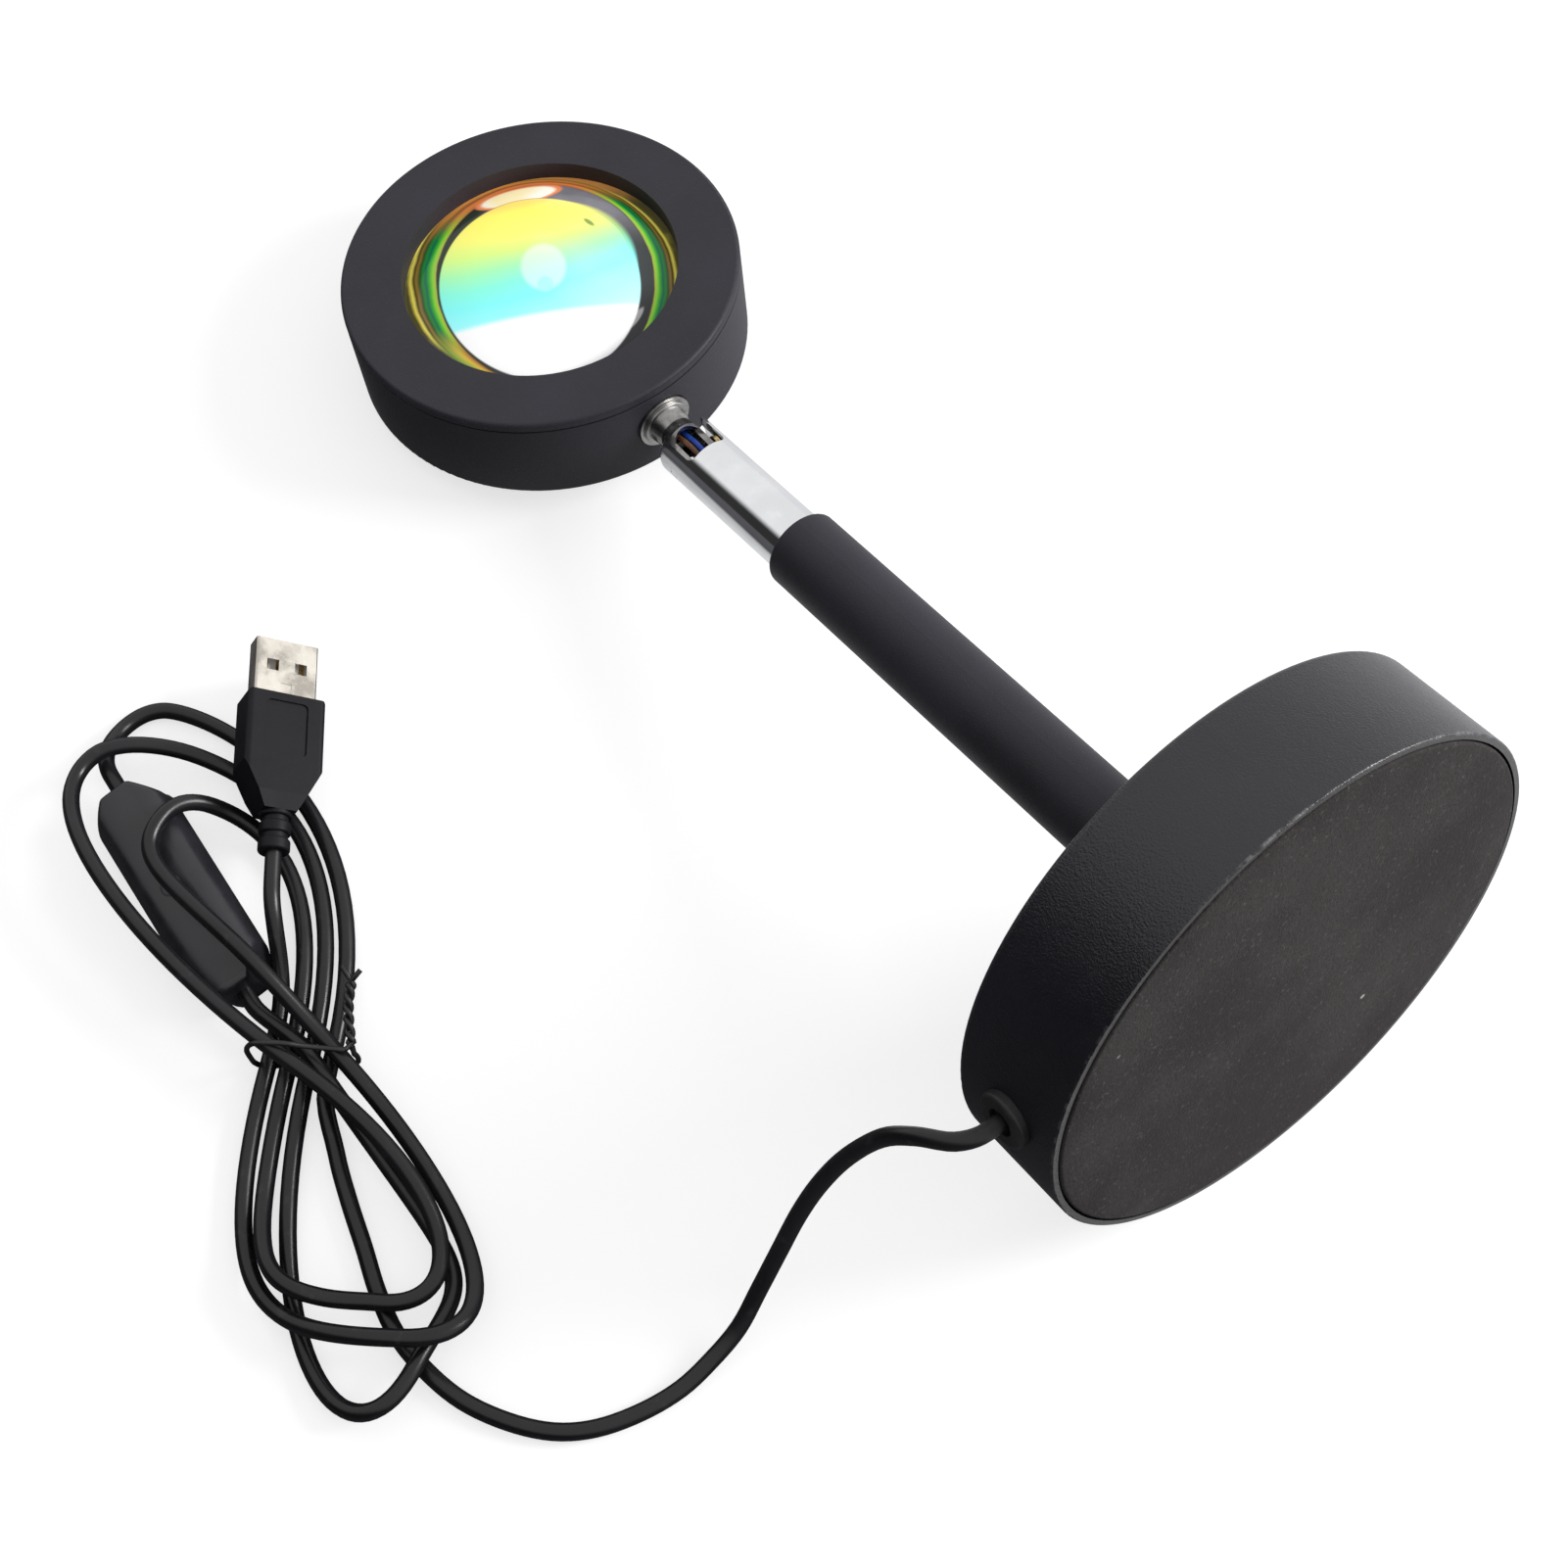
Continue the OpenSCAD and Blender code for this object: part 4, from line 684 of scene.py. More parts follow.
    def _disc(self, g: Graph, coords: object, u: object, v: object) -> object:
        """The coloured disc seen through the middle of the lens.

        Args:
            g: The material's graph.
            coords: Object coordinates.
            u: Distance across the picture.
            v: Distance down the picture.

        Returns:
            The colour socket.
        """
        tilt = g.math("ADD", self._sloped(g, u, v, self.slope), g.times(u, u, self.bow))
        wavy = g.times(g.math("SUBTRACT", g.noise(coords, 60.0, 1.0), 0.5), self.wave)
        level = g.add("ShaderNodeMapRange", {
            "Value": g.math("ADD", tilt, wavy), "From Min": self.disc_span[0],
            "From Max": self.disc_span[1]})
        inside = g.ramp(level.outputs["Result"], self.disc_stops)
        pale = g.step(g.noise(coords, 45.0, 2.0), 0.45, 0.75)
        inside = g.mix(g.times(pale, 0.18), inside, (0.95, 1.0, 0.97))
        line = self._sloped(g, u, v, self.white_slope)
        inside = g.mix(g.step(line, *self.white_edge), inside, (1.0, 1.0, 1.0))
        diode = self._oval(g, u, v, self.diode)
        inside = g.mix(g.times(g.step(diode, 1.1, 0.84), 0.48), inside, (0.93, 1.0, 1.0))
        notch = self._oval(g, u, v, self.diode_notch)
        inside = g.mix(g.times(g.step(notch, 1.15, 0.85), 0.85), inside, (0.4, 0.98, 1.0))
        mark = self._oval(g, u, v, self.mark)
        inside = g.mix(g.times(g.step(mark, 1.4, 0.7), 0.75), inside, (0.08, 0.14, 0.03))
        scratch = self._oval(g, u, v, self.scratch)
        thin = g.times(g.step(scratch, 0.985, 1.0), g.step(scratch, 1.015, 1.0))
        upper = g.times(g.step(u, 50.0, 60.0), g.step(v, -12.0, -22.0))
        return g.mix(g.times(thin, upper, 0.4), inside, (0.3, 0.45, 0.2))

    def _edge_band(self, g: Graph, coords: object, u: object, v: object) -> object:
        """The rings of colour between the disc and the lens's rim.

        Args:
            g: The material's graph.
            coords: Object coordinates.
            u: Distance across the picture.
            v: Distance down the picture.

        Returns:
            The colour socket.
        """
        inner = self._oval(g, u, v, self.ring_start)
        outer = self._oval(g, u, v, self.rim)
        past = g.math("MAXIMUM", g.math("SUBTRACT", inner, 1.0), 0.0)
        left = g.math("MAXIMUM", g.math("SUBTRACT", 1.0, outer), 0.0001)
        ring = g.math("DIVIDE", past, g.math("ADD", past, left))
        ripple = g.times(g.math("SUBTRACT", g.noise(coords, 130.0, 3.0), 0.5), self.ring_ripple)
        ring = g.math("ADD", ring, ripple)
        sides, above = g.ramp(ring, self.side_stops), g.ramp(ring, self.above_stops)
        height = self._sloped(g, u, v, self.above_slope)
        band = g.mix(g.step(height, -58.0, -94.0), sides, above)
        band = g.mix(g.step(v, 52.0, 84.0), band, g.ramp(ring, self.low_stops))
        wall = g.ramp(g.noise(coords, 160.0, 2.0), self.wall_stops)
        wall = g.mix(g.step(v, -72.0, -28.0), wall, (0.04, 0.045, 0.045))
        lower = g.times(g.step(u, 20.0, 60.0), g.step(v, 5.0, 30.0))
        wall = g.mix(g.times(lower, 0.85), wall, (0.025, 0.025, 0.028))
        glint = g.step(self._oval(g, u, v, self.glint), 1.1, 0.7)
        wall = g.mix(g.times(glint, 0.6), wall, (0.5, 0.5, 0.5))
        wall = g.mix(g.step(u, -30.0, -70.0), wall, (0.02, 0.03, 0.02))
        return g.mix(g.step(inner, 1.008, 0.988), band, wall)


COAT = Finish("powder_coat", (0.0225, 0.021, 0.028), (0.031, 0.029, 0.0385), 0.55, 0.05,
              grain_mm=0.32, grain_depth=0.05, cloud_mm=40.0, scuff=0.015, specular=0.3)
BASE_COAT = WornCoatWithPaintedLight("base_coat", (0.006, 0.0058, 0.0098), (0.0105, 0.0102, 0.0165), 0.32,
                     0.04, grain_mm=0.36, grain_depth=0.13, cloud_mm=50.0, scuff=0.02,
                     specular=0.66)
FOAM = FoamSheet("foam_sheet", (0.027, 0.0232, 0.0235), (0.046, 0.0405, 0.041), 0.86, 0.05,
                 grain_mm=0.5, grain_depth=0.14, cloud_mm=24.0, specular=0.2)
CHROME = Finish("polished_chrome", (0.86, 0.87, 0.89), (0.93, 0.94, 0.95), 0.07, 0.03, 1.0,
                grain_mm=3.0, grain_depth=0.002, cloud_mm=12.0, scuff=0.0)
NICKEL = Finish("satin_nickel", (0.24, 0.235, 0.23), (0.45, 0.44, 0.43), 0.3, 0.08, 1.0,
                grain_mm=0.35, grain_depth=0.006, cloud_mm=4.0, stretch=(1.0, 6.0, 1.0))
PLUG_METAL = Finish("plug_metal", (0.5, 0.465, 0.41), (0.68, 0.64, 0.575), 0.3, 0.07, 1.0,
                    grain_mm=0.5, grain_depth=0.004, cloud_mm=5.0, scuff=0.3)
STEEL = Finish("plain_steel", (0.45, 0.45, 0.46), (0.6, 0.6, 0.61), 0.35, 0.08, 1.0,
               grain_mm=0.3, grain_depth=0.004, cloud_mm=6.0)
BRASS = Finish("turned_brass", (0.7, 0.5, 0.22), (0.85, 0.66, 0.32), 0.28, 0.06, 1.0,
               grain_mm=0.3, grain_depth=0.003, cloud_mm=5.0)
IRON = Finish("cast_iron", (0.05, 0.05, 0.052), (0.1, 0.1, 0.1), 0.7, 0.1, 0.6,
              grain_mm=0.9, grain_depth=0.08, cloud_mm=15.0)
ALUMINIUM = Finish("plain_aluminium", (0.62, 0.63, 0.64), (0.75, 0.76, 0.77), 0.35, 0.06, 1.0,
                   grain_mm=0.4, grain_depth=0.004, cloud_mm=8.0)
RUBBER = Finish("moulded_rubber", (0.014, 0.014, 0.015), (0.024, 0.024, 0.025), 0.52, 0.07,
                grain_mm=0.3, grain_depth=0.008, cloud_mm=4.0)
CORD = Finish("cord_sheath", (0.007, 0.007, 0.0085), (0.011, 0.011, 0.013), 0.3, 0.05,
              grain_mm=3.0, grain_depth=0.0002, cloud_mm=20.0, scuff=0.0, specular=0.45)
SATIN = Finish("satin_plastic", (0.016, 0.0155, 0.0195), (0.023, 0.0225, 0.028), 0.34, 0.06,
               grain_mm=0.25, grain_depth=0.004, cloud_mm=10.0, scuff=0.05, specular=0.6)
PLUG_PLASTIC = Finish("plug_plastic", (0.005, 0.005, 0.007), (0.008, 0.008, 0.0105), 0.48,
                      0.06, grain_mm=0.3, grain_depth=0.006, cloud_mm=7.0, scuff=0.04,
                      specular=0.2)
WIRE_COAT = Finish("tie_coat", (0.008, 0.008, 0.009), (0.018, 0.018, 0.02), 0.4, 0.06,
                   grain_mm=0.4, grain_depth=0.01, cloud_mm=3.0)
WHITE = Finish("white_plastic", (0.82, 0.82, 0.8), (0.9, 0.9, 0.88), 0.45, 0.05,
               grain_mm=0.4, grain_depth=0.003, cloud_mm=9.0, scuff=0.0)
DIODE = Finish("diode_gel", (0.85, 0.62, 0.08), (0.95, 0.75, 0.15), 0.3, 0.05,
               grain_mm=0.4, grain_depth=0.003, cloud_mm=3.0, scuff=0.0)
BLUE = Finish("blue_sheath", (0.01, 0.05, 0.35), (0.02, 0.09, 0.5), 0.35, 0.05,
              grain_mm=0.4, grain_depth=0.003, cloud_mm=3.0, scuff=0.0)
BROWN = Finish("brown_sheath", (0.1, 0.04, 0.02), (0.16, 0.07, 0.035), 0.35, 0.05,
               grain_mm=0.4, grain_depth=0.003, cloud_mm=3.0, scuff=0.0)
AMBER = Finish("filter_film", (0.9, 0.55, 0.12), (0.95, 0.75, 0.3), 0.15, 0.04,
               grain_mm=0.8, grain_depth=0.001, cloud_mm=10.0, scuff=0.0)
OPTIC = SunsetOptic()


# ---------- the camera and the studio ----------

@dataclass(frozen=True)
class PhotoCamera:
    """The camera at the photograph's viewing angle: angles in degrees, lengths in mm."""

    azimuth: float = 52.5166
    elevation: float = 64.4161
    roll: float = -0.6852
    at: tuple[float, float, float] = (172.648, -141.583, 399.913)
    lens_mm: float = 53.795
    sensor_mm: float = 36.0
    clip: tuple[float, float] = (0.01, 50.0)

    def build(self) -> None:
        """Makes the camera and sets it as the scene's own."""
        a, e, r = (math.radians(v) for v in (self.azimuth, self.elevation, self.roll))
        back = Vector((math.sin(a) * math.cos(e), -math.cos(a) * math.cos(e), math.sin(e)))
        level = Vector((math.cos(a), math.sin(a), 0))
        upright = back.cross(level)
        right = math.cos(r) * level + math.sin(r) * upright
        upward = -math.sin(r) * level + math.cos(r) * upright
        data = bpy.data.cameras.new("photo_camera")
        data.sensor_fit = "HORIZONTAL"
        data.sensor_width = self.sensor_mm
        data.lens = self.lens_mm
        data.clip_start, data.clip_end = self.clip
        camera = bpy.data.objects.new("photo_camera", data)
        place = Matrix((right, upward, back)).transposed().to_4x4()
        place.translation = Vector(self.at) * MM
        camera.matrix_world = place
        bpy.context.collection.objects.link(camera)
        bpy.context.scene.camera = camera


@dataclass(frozen=True)
class Studio:
    """A white table, soft light from all round and a key light from beyond the base. Metres."""

    key_power: float = 9.5
    key_at: tuple[float, float, float] = (0.45, 0.75, 0.5)
    key_aim: tuple[float, float, float] = (0.02, -0.02, 0.03)
    key_size: float = 0.4
    room_light: float = 0.66
    room_span: tuple[float, float] = (-0.6, 0.7)
    room_shares: tuple[float, float] = (0.35, 1.2)
    bright_side: tuple[float, float, float] = (-0.107, 0.807, 0.58)
    mirror_span: tuple[float, float] = (-0.3, 0.02)
    bright: float = 0.85
    dim: float = 0.03
    table_half: float = 0.42
    table_paint: Colour = (0.48, 0.48, 0.49)
    table_seen: Colour = (0.46, 0.46, 0.47)
    table_far: Colour = (0.1, 0.1, 0.108)
    table_lift: float = 0.68
    mirror_lift: float = 0.25
    mirror_end: float = -0.05
    mirror_start: float = -0.03

    def build(self) -> None:
        """Makes the table, the key light and the world."""
        scene = bpy.context.scene
        scene.view_settings.view_transform = "Standard"
        self._table()
        self._key()
        self._world()

    def _table(self) -> None:
        """The white table top, which keeps the lamp's shadow and dims in far reflections."""
        bm = bmesh.new()
        bmesh.ops.create_grid(bm, x_segments=2, y_segments=2, size=self.table_half)
        mesh = bpy.data.meshes.new("table_top")
        bm.to_mesh(mesh)
        bm.free()
        material = bpy.data.materials.new("table_white")
        material.use_nodes = True
        g = Graph(material.node_tree)
        path = g.add("ShaderNodeLightPath")
        camera = path.outputs["Is Camera Ray"]
        mirrored = g.math("MAXIMUM", path.outputs["Is Glossy Ray"],
                          path.outputs["Is Transmission Ray"])
        place = g.add("ShaderNodeSeparateXYZ", {
            "Vector": g.add("ShaderNodeNewGeometry").outputs["Position"]})
        close = g.step(place.outputs["Y"], self.mirror_end, self.mirror_start)
        paint = g.mix(mirrored, self.table_paint,
                      g.mix(close, self.table_far, self.table_paint))
        plain = g.add("ShaderNodeBsdfDiffuse", {"Color": g.mix(camera, paint, self.table_seen)})
        strength = g.math("ADD", g.times(camera, self.table_lift),
                          g.times(mirrored, close, self.mirror_lift))
        lift = g.add("ShaderNodeEmission", {"Color": (1, 1, 1, 1), "Strength": strength})
        both = g.add("ShaderNodeAddShader", {0: plain.outputs[0], 1: lift.outputs[0]})
        g.add("ShaderNodeOutputMaterial", {"Surface": both.outputs[0]})
        mesh.materials.append(material)
        table = bpy.data.objects.new("table_top", mesh)
        bpy.context.collection.objects.link(table)

    def _key(self) -> None:
        """The soft key light."""
        data = bpy.data.lights.new("key_light", "AREA")
        data.energy = self.key_power
        data.size = self.key_size
        light = bpy.data.objects.new("key_light", data)
        aim = Vector(self.key_aim) - Vector(self.key_at)
        light.matrix_world = (Matrix.Translation(Vector(self.key_at))
                              @ aim.to_track_quat("-Z", "Y").to_matrix().to_4x4())
        bpy.context.collection.objects.link(light)

    def _world(self) -> None:
        """White to the camera; light and reflections come mostly from the bright side."""
        world = bpy.data.worlds.new("white_room")
        world.use_nodes = True
        g = Graph(world.node_tree)
        path = g.add("ShaderNodeLightPath")
        direction = g.add("ShaderNodeTexCoord").outputs["Generated"]
        toward = g.add("ShaderNodeVectorMath", {0: direction, 1: self.bright_side},
                       operation="DOT_PRODUCT").outputs["Value"]
        mirrored = g.add("ShaderNodeMapRange", {
            "Value": toward, "From Min": self.mirror_span[0], "From Max": self.mirror_span[1],
            "To Min": self.dim, "To Max": self.bright}, interpolation_type="SMOOTHSTEP")
        room = g.add("ShaderNodeMapRange", {
            "Value": toward, "From Min": self.room_span[0], "From Max": self.room_span[1],
            "To Min": self.room_light * self.room_shares[0],
            "To Max": self.room_light * self.room_shares[1]})
        clear = g.math("MAXIMUM", path.outputs["Is Camera Ray"],
                       path.outputs["Is Transmission Ray"])
        plain = g.add("ShaderNodeMapRange", {"Value": clear, "To Max": 1.0,
                                             "To Min": room.outputs["Result"]})
        strength = g.add("ShaderNodeMix", {0: path.outputs["Is Glossy Ray"],
                                           2: plain.outputs["Result"],
                                           3: mirrored.outputs["Result"]})
        sky = g.add("ShaderNodeBackground", {"Color": (1, 1, 1, 1),
                                             "Strength": strength.outputs[0]})
        g.add("ShaderNodeOutputWorld", {"Surface": sky.outputs[0]})
        bpy.context.scene.world = world


# ---------- the cord ----------

def hermite(p: Vector, m: Vector, q: Vector, n: Vector, t: float) -> Vector:
    """A point on a smooth curve between two points.

    Args:
        p: Where the curve starts.
        m: Its heading and pull there.
        q: Where it ends.
        n: Its heading and pull there.
        t: How far along, from 0 to 1.

    Returns:
        The point.
    """
    return ((2 * t ** 3 - 3 * t ** 2 + 1) * p + (t ** 3 - 2 * t ** 2 + t) * m
            + (3 * t ** 2 - 2 * t ** 3) * q + (t ** 3 - t ** 2) * n)


def flat(angle: float) -> Vector:
    """Unit vector in the plan at an angle in degrees."""
    return Vector((math.cos(math.radians(angle)), math.sin(math.radians(angle)), 0))


@dataclass(frozen=True)
class Cord:
    """The whole lead: its free run and its hank, on the model's own formula. Lengths in mm."""

    diameter: float = 3.1
    layer: float = 3.6
    waist_lift: float = 0.35
    pitch: float = 3.7
    upright_from: float = 4.7
    slant_from: float = 1.35
    slant_pitch: float = 2.6
    switch_len: float = 47.0
    entry: float = 5.0
    entry_pull: float = 22.0
    leave: float = 3.0
    leave_pull: float = 9.0
    lead_pull: float = 11.0
    plug_share: float = 0.38
    plug_pull: float = 30.0
    straight: float = 3.5
    smoothness: int = 5
    waist_head: tuple = (79.5, -54, 81, -35, 81, -46, 80)
    waist_pull: tuple = (166, 157.5, 157, 126.5, 141.5, 116.5, 131.5)
    lobe_reach: tuple = (79.5, 58.5, 72, 46, 52, 54)
    lobe_lean: tuple = (24.5, 23.5, 32.5, 21.5, 31, 23)
    lobe_turn: tuple = (-21, 42, -17, -27, 28, -25)
    lobe_width: tuple = (22.5, 66, 57, 43.5, 37, 67)
    outlet_h: float = 10.5
    outlet_turn: float = -83.0
    outlet_r: float = 50.6
    run_points: tuple = (
        (-13.5, -58.5, 57.5), (-18.5, -62, 54.5), (-22.5, -65, 49.5), (-25, -69.5, 42.5),
        (-26, -74, 35), (-26, -78.5, 26.5), (-25, -83.5, 17.5), (-23.5, -89, 10),
        (-21.5, -95, 5), (-20.5, -101.5, 2.5), (-20, -108.5, 1.6), (-21, -116, 1.6),
        (-23.5, -123.5, 1.6), (-27.5, -129.5, 1.6), (-33.5, -134.5, 1.6), (-41, -138.5, 1.6),
        (-49, -140.5, 1.6), (-57, -141, 1.6), (-65, -139.5, 1.6), (-73, -137, 1.6),
        (-81.5, -134.5, 1.6), (-90, -131.5, 1.6))

    @property
    def radius(self) -> float:
        """Half the cord's diameter."""
        return self.diameter / 2

    def _layers(self) -> tuple[list, list]:
        """Heights along each stretch, in layers above a cord that lies on the table.

        Returns:
            The rows to the switch, and the rows from the switch to the plug.
        """
        w = self.waist_lift
        sw = (LIE.switch_up - self.radius) / self.layer
        pl = (LIE.plug_up - self.radius) / self.layer
        first = [[w, 0.2, 0, 0, 0, 0], [0, 0, 0.05, 0.3, 0.75, 1.15], [sw]]
        second = [
            [sw], [sw, 1 + w], [1 + w, 1.1, 0.5, 0, 0, 0.4], [1.25, 1.1, 0.5, 0, 0, 0.15],
            [w, 0.2, 0, 0, 0.3, 1.5], [2.35, 2, 2.6, 3.3, 3.3, 3.1],
            [2 + w, 2.2, 1.7, 1.2, 1, 1], [1, 1.1, 1.9, 1.8, 1, 0.15],
            [w, 0.2, 0, 0.1, 1.1, 2.9], [3.5, 3.5, 3.5, 3.5, 3.6, 3.7],
            [1 + w, 1.1, 0.5, 0.4, 0.9, 1.8], [2.2, 2, 1.2, 0.9, 0.3, 0.15],
            [w, 0.2, 0.1, 0.8, 1.7, pl], [pl]]
        return first, second

    def _height(self, rows: list, stretch: int, t: float) -> float:
        """Height on a smooth line through the evenly spaced keys of the rows.

        Args:
            rows: One row of keys for each stretch.
            stretch: Which stretch.
            t: How far along it, from 0 to 1.

        Returns:
            The height in mm.
        """
        keys = [v for row in rows for v in row] + [rows[-1][0]]
        x = sum(len(row) for row in rows[:stretch]) + t * len(rows[stretch])
        x = max(0.0, min(len(keys) - 1.001, x))
        i = math.floor(x + 0.5)
        f = x - i + 0.5
        near = [keys[max(0, min(len(keys) - 1, k))] for k in (i - 1, i, i + 1)]
        value = (0.5 * (1 - f) ** 2 * near[0] + (0.5 + f - f * f) * near[1]
                 + 0.5 * f * f * near[2])
        return self.radius + self.layer * value

    def _waist(self, j: int) -> Vector:
        """Where a pass of the cord crosses the waist.

        Args:
            j: The pass, upright if even and slanting if odd.

        Returns:
            The point in the plan.
        """
        if j % 2 == 0:
            return Vector((self.upright_from - self.pitch * (j // 2), 0, 0))
        at = self.slant_from + self.slant_pitch * (0, -1, 1)[j // 2]
        return Vector((at, at, 0))

    def _waist_way(self, j: int) -> Vector:
        """Heading and pull of pass j at the waist."""
        return self.waist_pull[j] * flat(self.waist_head[j])

    def _lobe(self, k: int) -> tuple[Vector, Vector]:
        """The far end of a loop.

        Args:
            k: The loop, above the waist if even and below it if odd.

        Returns:
            The far end, and the heading and pull there.
        """
        side = 1 if k % 2 == 0 else -1
        angle = 90 * side + self.lobe_lean[k]
        return (self.lobe_reach[k] * flat(angle),
                self.lobe_width[k] * flat(angle + 90 * side + self.lobe_turn[k]))

    def _switch_end(self, side: int) -> tuple[Vector, Vector]:
        """One end of the switch in the plan, -1 where the cord goes in, and the cord's way."""
        way = flat(LIE.switch_heading)
        return Vector((*LIE.switch_at, 0)) + way * (side * self.switch_len) / 2, way

    def _half_loop(self, k: int, back: bool, t: float) -> Vector:
        """A point on a loop.

        Args:
            k: The loop.
            back: Whether it is on its way back to the waist.
            t: How far along that half, from 0 to 1.

        Returns:
            The point in the plan.
        """
        end, pull = self._lobe(k)
        if not back:
            return hermite(self._waist(k), self._waist_way(k), end, pull, t)
        if k == 0:
            top, way = self._switch_end(-1)
            return hermite(end, pull, top - way * self.entry, way * self.entry_pull, t)
        return hermite(end, pull, self._waist(k + 1), self._waist_way(k + 1), t)

    def hank_in(self, steps: int) -> list[Vector]:
        """The way from the waist to the switch.

        Args:
            steps: Points to each half loop.

        Returns:
            The points in the hank's frame.
        """
        top, way = self._switch_end(-1)
        rows = self._layers()[0]
        points = []
        for stretch, count in ((0, steps), (1, steps), (2, 4)):
            for i in range(count):
                t = i / count
                if stretch == 2:
                    p = top - way * self.entry * (1 - t)
                else:
                    p = self._half_loop(0, stretch == 1, t)
                points.append(Vector((p.x, p.y, self._height(rows, stretch, t))))
        points.append(Vector((top.x, top.y, LIE.switch_up)))
        return points

    def hank(self, steps: int) -> list[Vector]:
        """The way from the switch to the plug, through the loops that are left.

        Args:
            steps: Points to each half loop.

        Returns:
            The points in the hank's frame.
        """
        end, way = self._switch_end(1)
        plug_way = flat(LIE.plug_heading)
        plug = Vector((*LIE.plug_at, 0))
        rows = self._layers()[1]
        points = []
        for stretch in range(14):
            count = {0: 2, 1: 14, 13: 4}.get(stretch, steps)
            for i in range(count):
                t = i / count
                if stretch == 0:
                    p = end + way * self.leave * t
                elif stretch == 1:
                    p = hermite(end + way * self.leave, way * self.leave_pull, self._waist(1),
                                flat(self.waist_head[1]) * self.lead_pull, t)
                elif stretch == 12:
                    p = hermite(self._waist(6), self._waist_way(6) * self.plug_share,
                                plug - plug_way * self.entry, plug_way * self.plug_pull, t)
                elif stretch == 13:
                    p = plug - plug_way * self.entry * (1 - t)
                else:
                    p = self._half_loop(stretch // 2, stretch % 2 == 1, t)
                points.append(Vector((p.x, p.y, self._height(rows, stretch, t))))
        points.append(Vector((plug.x, plug.y, LIE.plug_up)))
        return points

    def outlet(self) -> tuple[Vector, Vector]:
        """The grommet's mouth, from the point under the pad's centre.

        Returns:
            The mouth and the direction out of it.
        """
        lean, side = math.radians(LIE.lean), math.radians(self.outlet_turn)
        way = Vector((-math.sin(lean) * math.cos(side), math.sin(side),
                      math.cos(lean) * math.cos(side)))
        axis = Vector((-math.cos(lean), 0, -math.sin(lean)))
        return Vector((0, 0, LIE.pad_up)) + axis * self.outlet_h + way * self.outlet_r, way

    def run(self, steps: int) -> list[Vector]:
        """The free run, out of the grommet and into the hank.

        Args:
            steps: Points between two knots.

        Returns:
            The points in the row frame.
        """
        start, way = self.outlet()
        turned = turn(LIE.hank_turn, "Z").to_3x3()
        first = self.hank_in(12)
        target = Vector((*LIE.hank_at, 0)) + turned @ first[0]
        into = (turned @ (first[1] - first[0])).normalized()
        knots = [start + way * self.straight, *map(Vector, self.run_points),
                 target - into * self.straight]
        pulls = [(knots[i + 1] - knots[i - 1]) / 2 for i in range(1, len(knots) - 1)]
        pulls.insert(0, way * (knots[1] - knots[0]).length)
        pulls.append(into * (knots[-1] - knots[-2]).length)
        points = [start]
        for i in range(len(knots) - 1):
            points += [hermite(knots[i], pulls[i], knots[i + 1], pulls[i + 1], k / steps)
                       for k in range(steps)]
        points += [knots[-1], target]
        return [p + Vector((LIE.pad_x, 0, 0)) for p in points]

    def build(self) -> None:
        """Makes the lead in two cords, from the grommet to the switch and on to the plug."""
        hank_at = LIE.hank()
        to_switch = self.run(5) + [hank_at @ p for p in self.hank_in(36)][1:]
        to_plug = [hank_at @ p for p in self.hank(36)]
        self._cord("cord_to_switch", to_switch,
                   ("cord_run", "cord_hank_in"))
        self._cord("cord_to_plug", to_plug, ("cord_hank",))

    def _cord(self, name: str, points: list[Vector],
              stands_for: tuple[str, ...]) -> None:
        """Makes one cord as a round curve.

        Args:
            name: The cord's name.
            points: Its middle line, in millimetres in the row frame.
            stands_for: The model's pieces that it replaces.
        """
        data = bpy.data.curves.new(name, "CURVE")
        data.dimensions = "3D"
        data.bevel_depth = self.radius * MM
        data.bevel_resolution = self.smoothness
        data.use_fill_caps = True
        spline = data.splines.new("POLY")
        spline.points.add(len(points) - 1)
        for point, p in zip(spline.points, points):
            point.co = (*(p * MM), 1)
        spline.use_smooth = True
        data.materials.append(CORD.material())
        cord = bpy.data.objects.new(name, data)
        bpy.context.collection.objects.link(cord)
        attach(cord, Body.BASE.value)
        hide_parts(*stands_for)


# ---------- the pieces that replace soft or plain solids ----------

@dataclass(frozen=True)
class FoamPad:
    """The foam pad under the base, in mm in the lamp's frame."""

    radius: float = 48.4
    thickness: float = 2.2
    edge: float = 0.5
    rings: int = 6
    steps: int = 128
    edge_turns: tuple = (0, 22.5, 45, 67.5, 90)

    def build(self) -> None:
        """Makes the pad with its soft edge."""
        bm = bmesh.new()
        r, t, e = self.radius, self.thickness, self.edge
        arc = [(r - e + e * math.sin(a), e - e * math.cos(a))
               for a in (math.radians(d) for d in self.edge_turns)]
        face = [(0, 0)] + [(r * k / self.rings, 0) for k in range(1, self.rings)]
        lathe(bm, face + arc + [(r, t), (0, t)], self.steps)
        placed(bm, LIE.lamp())
        pad = finished("foam_pad", bm, FOAM.material(), Body.BASE)
        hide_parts("base_pad")
        log.info("foam pad: radius %.1f mm", r)


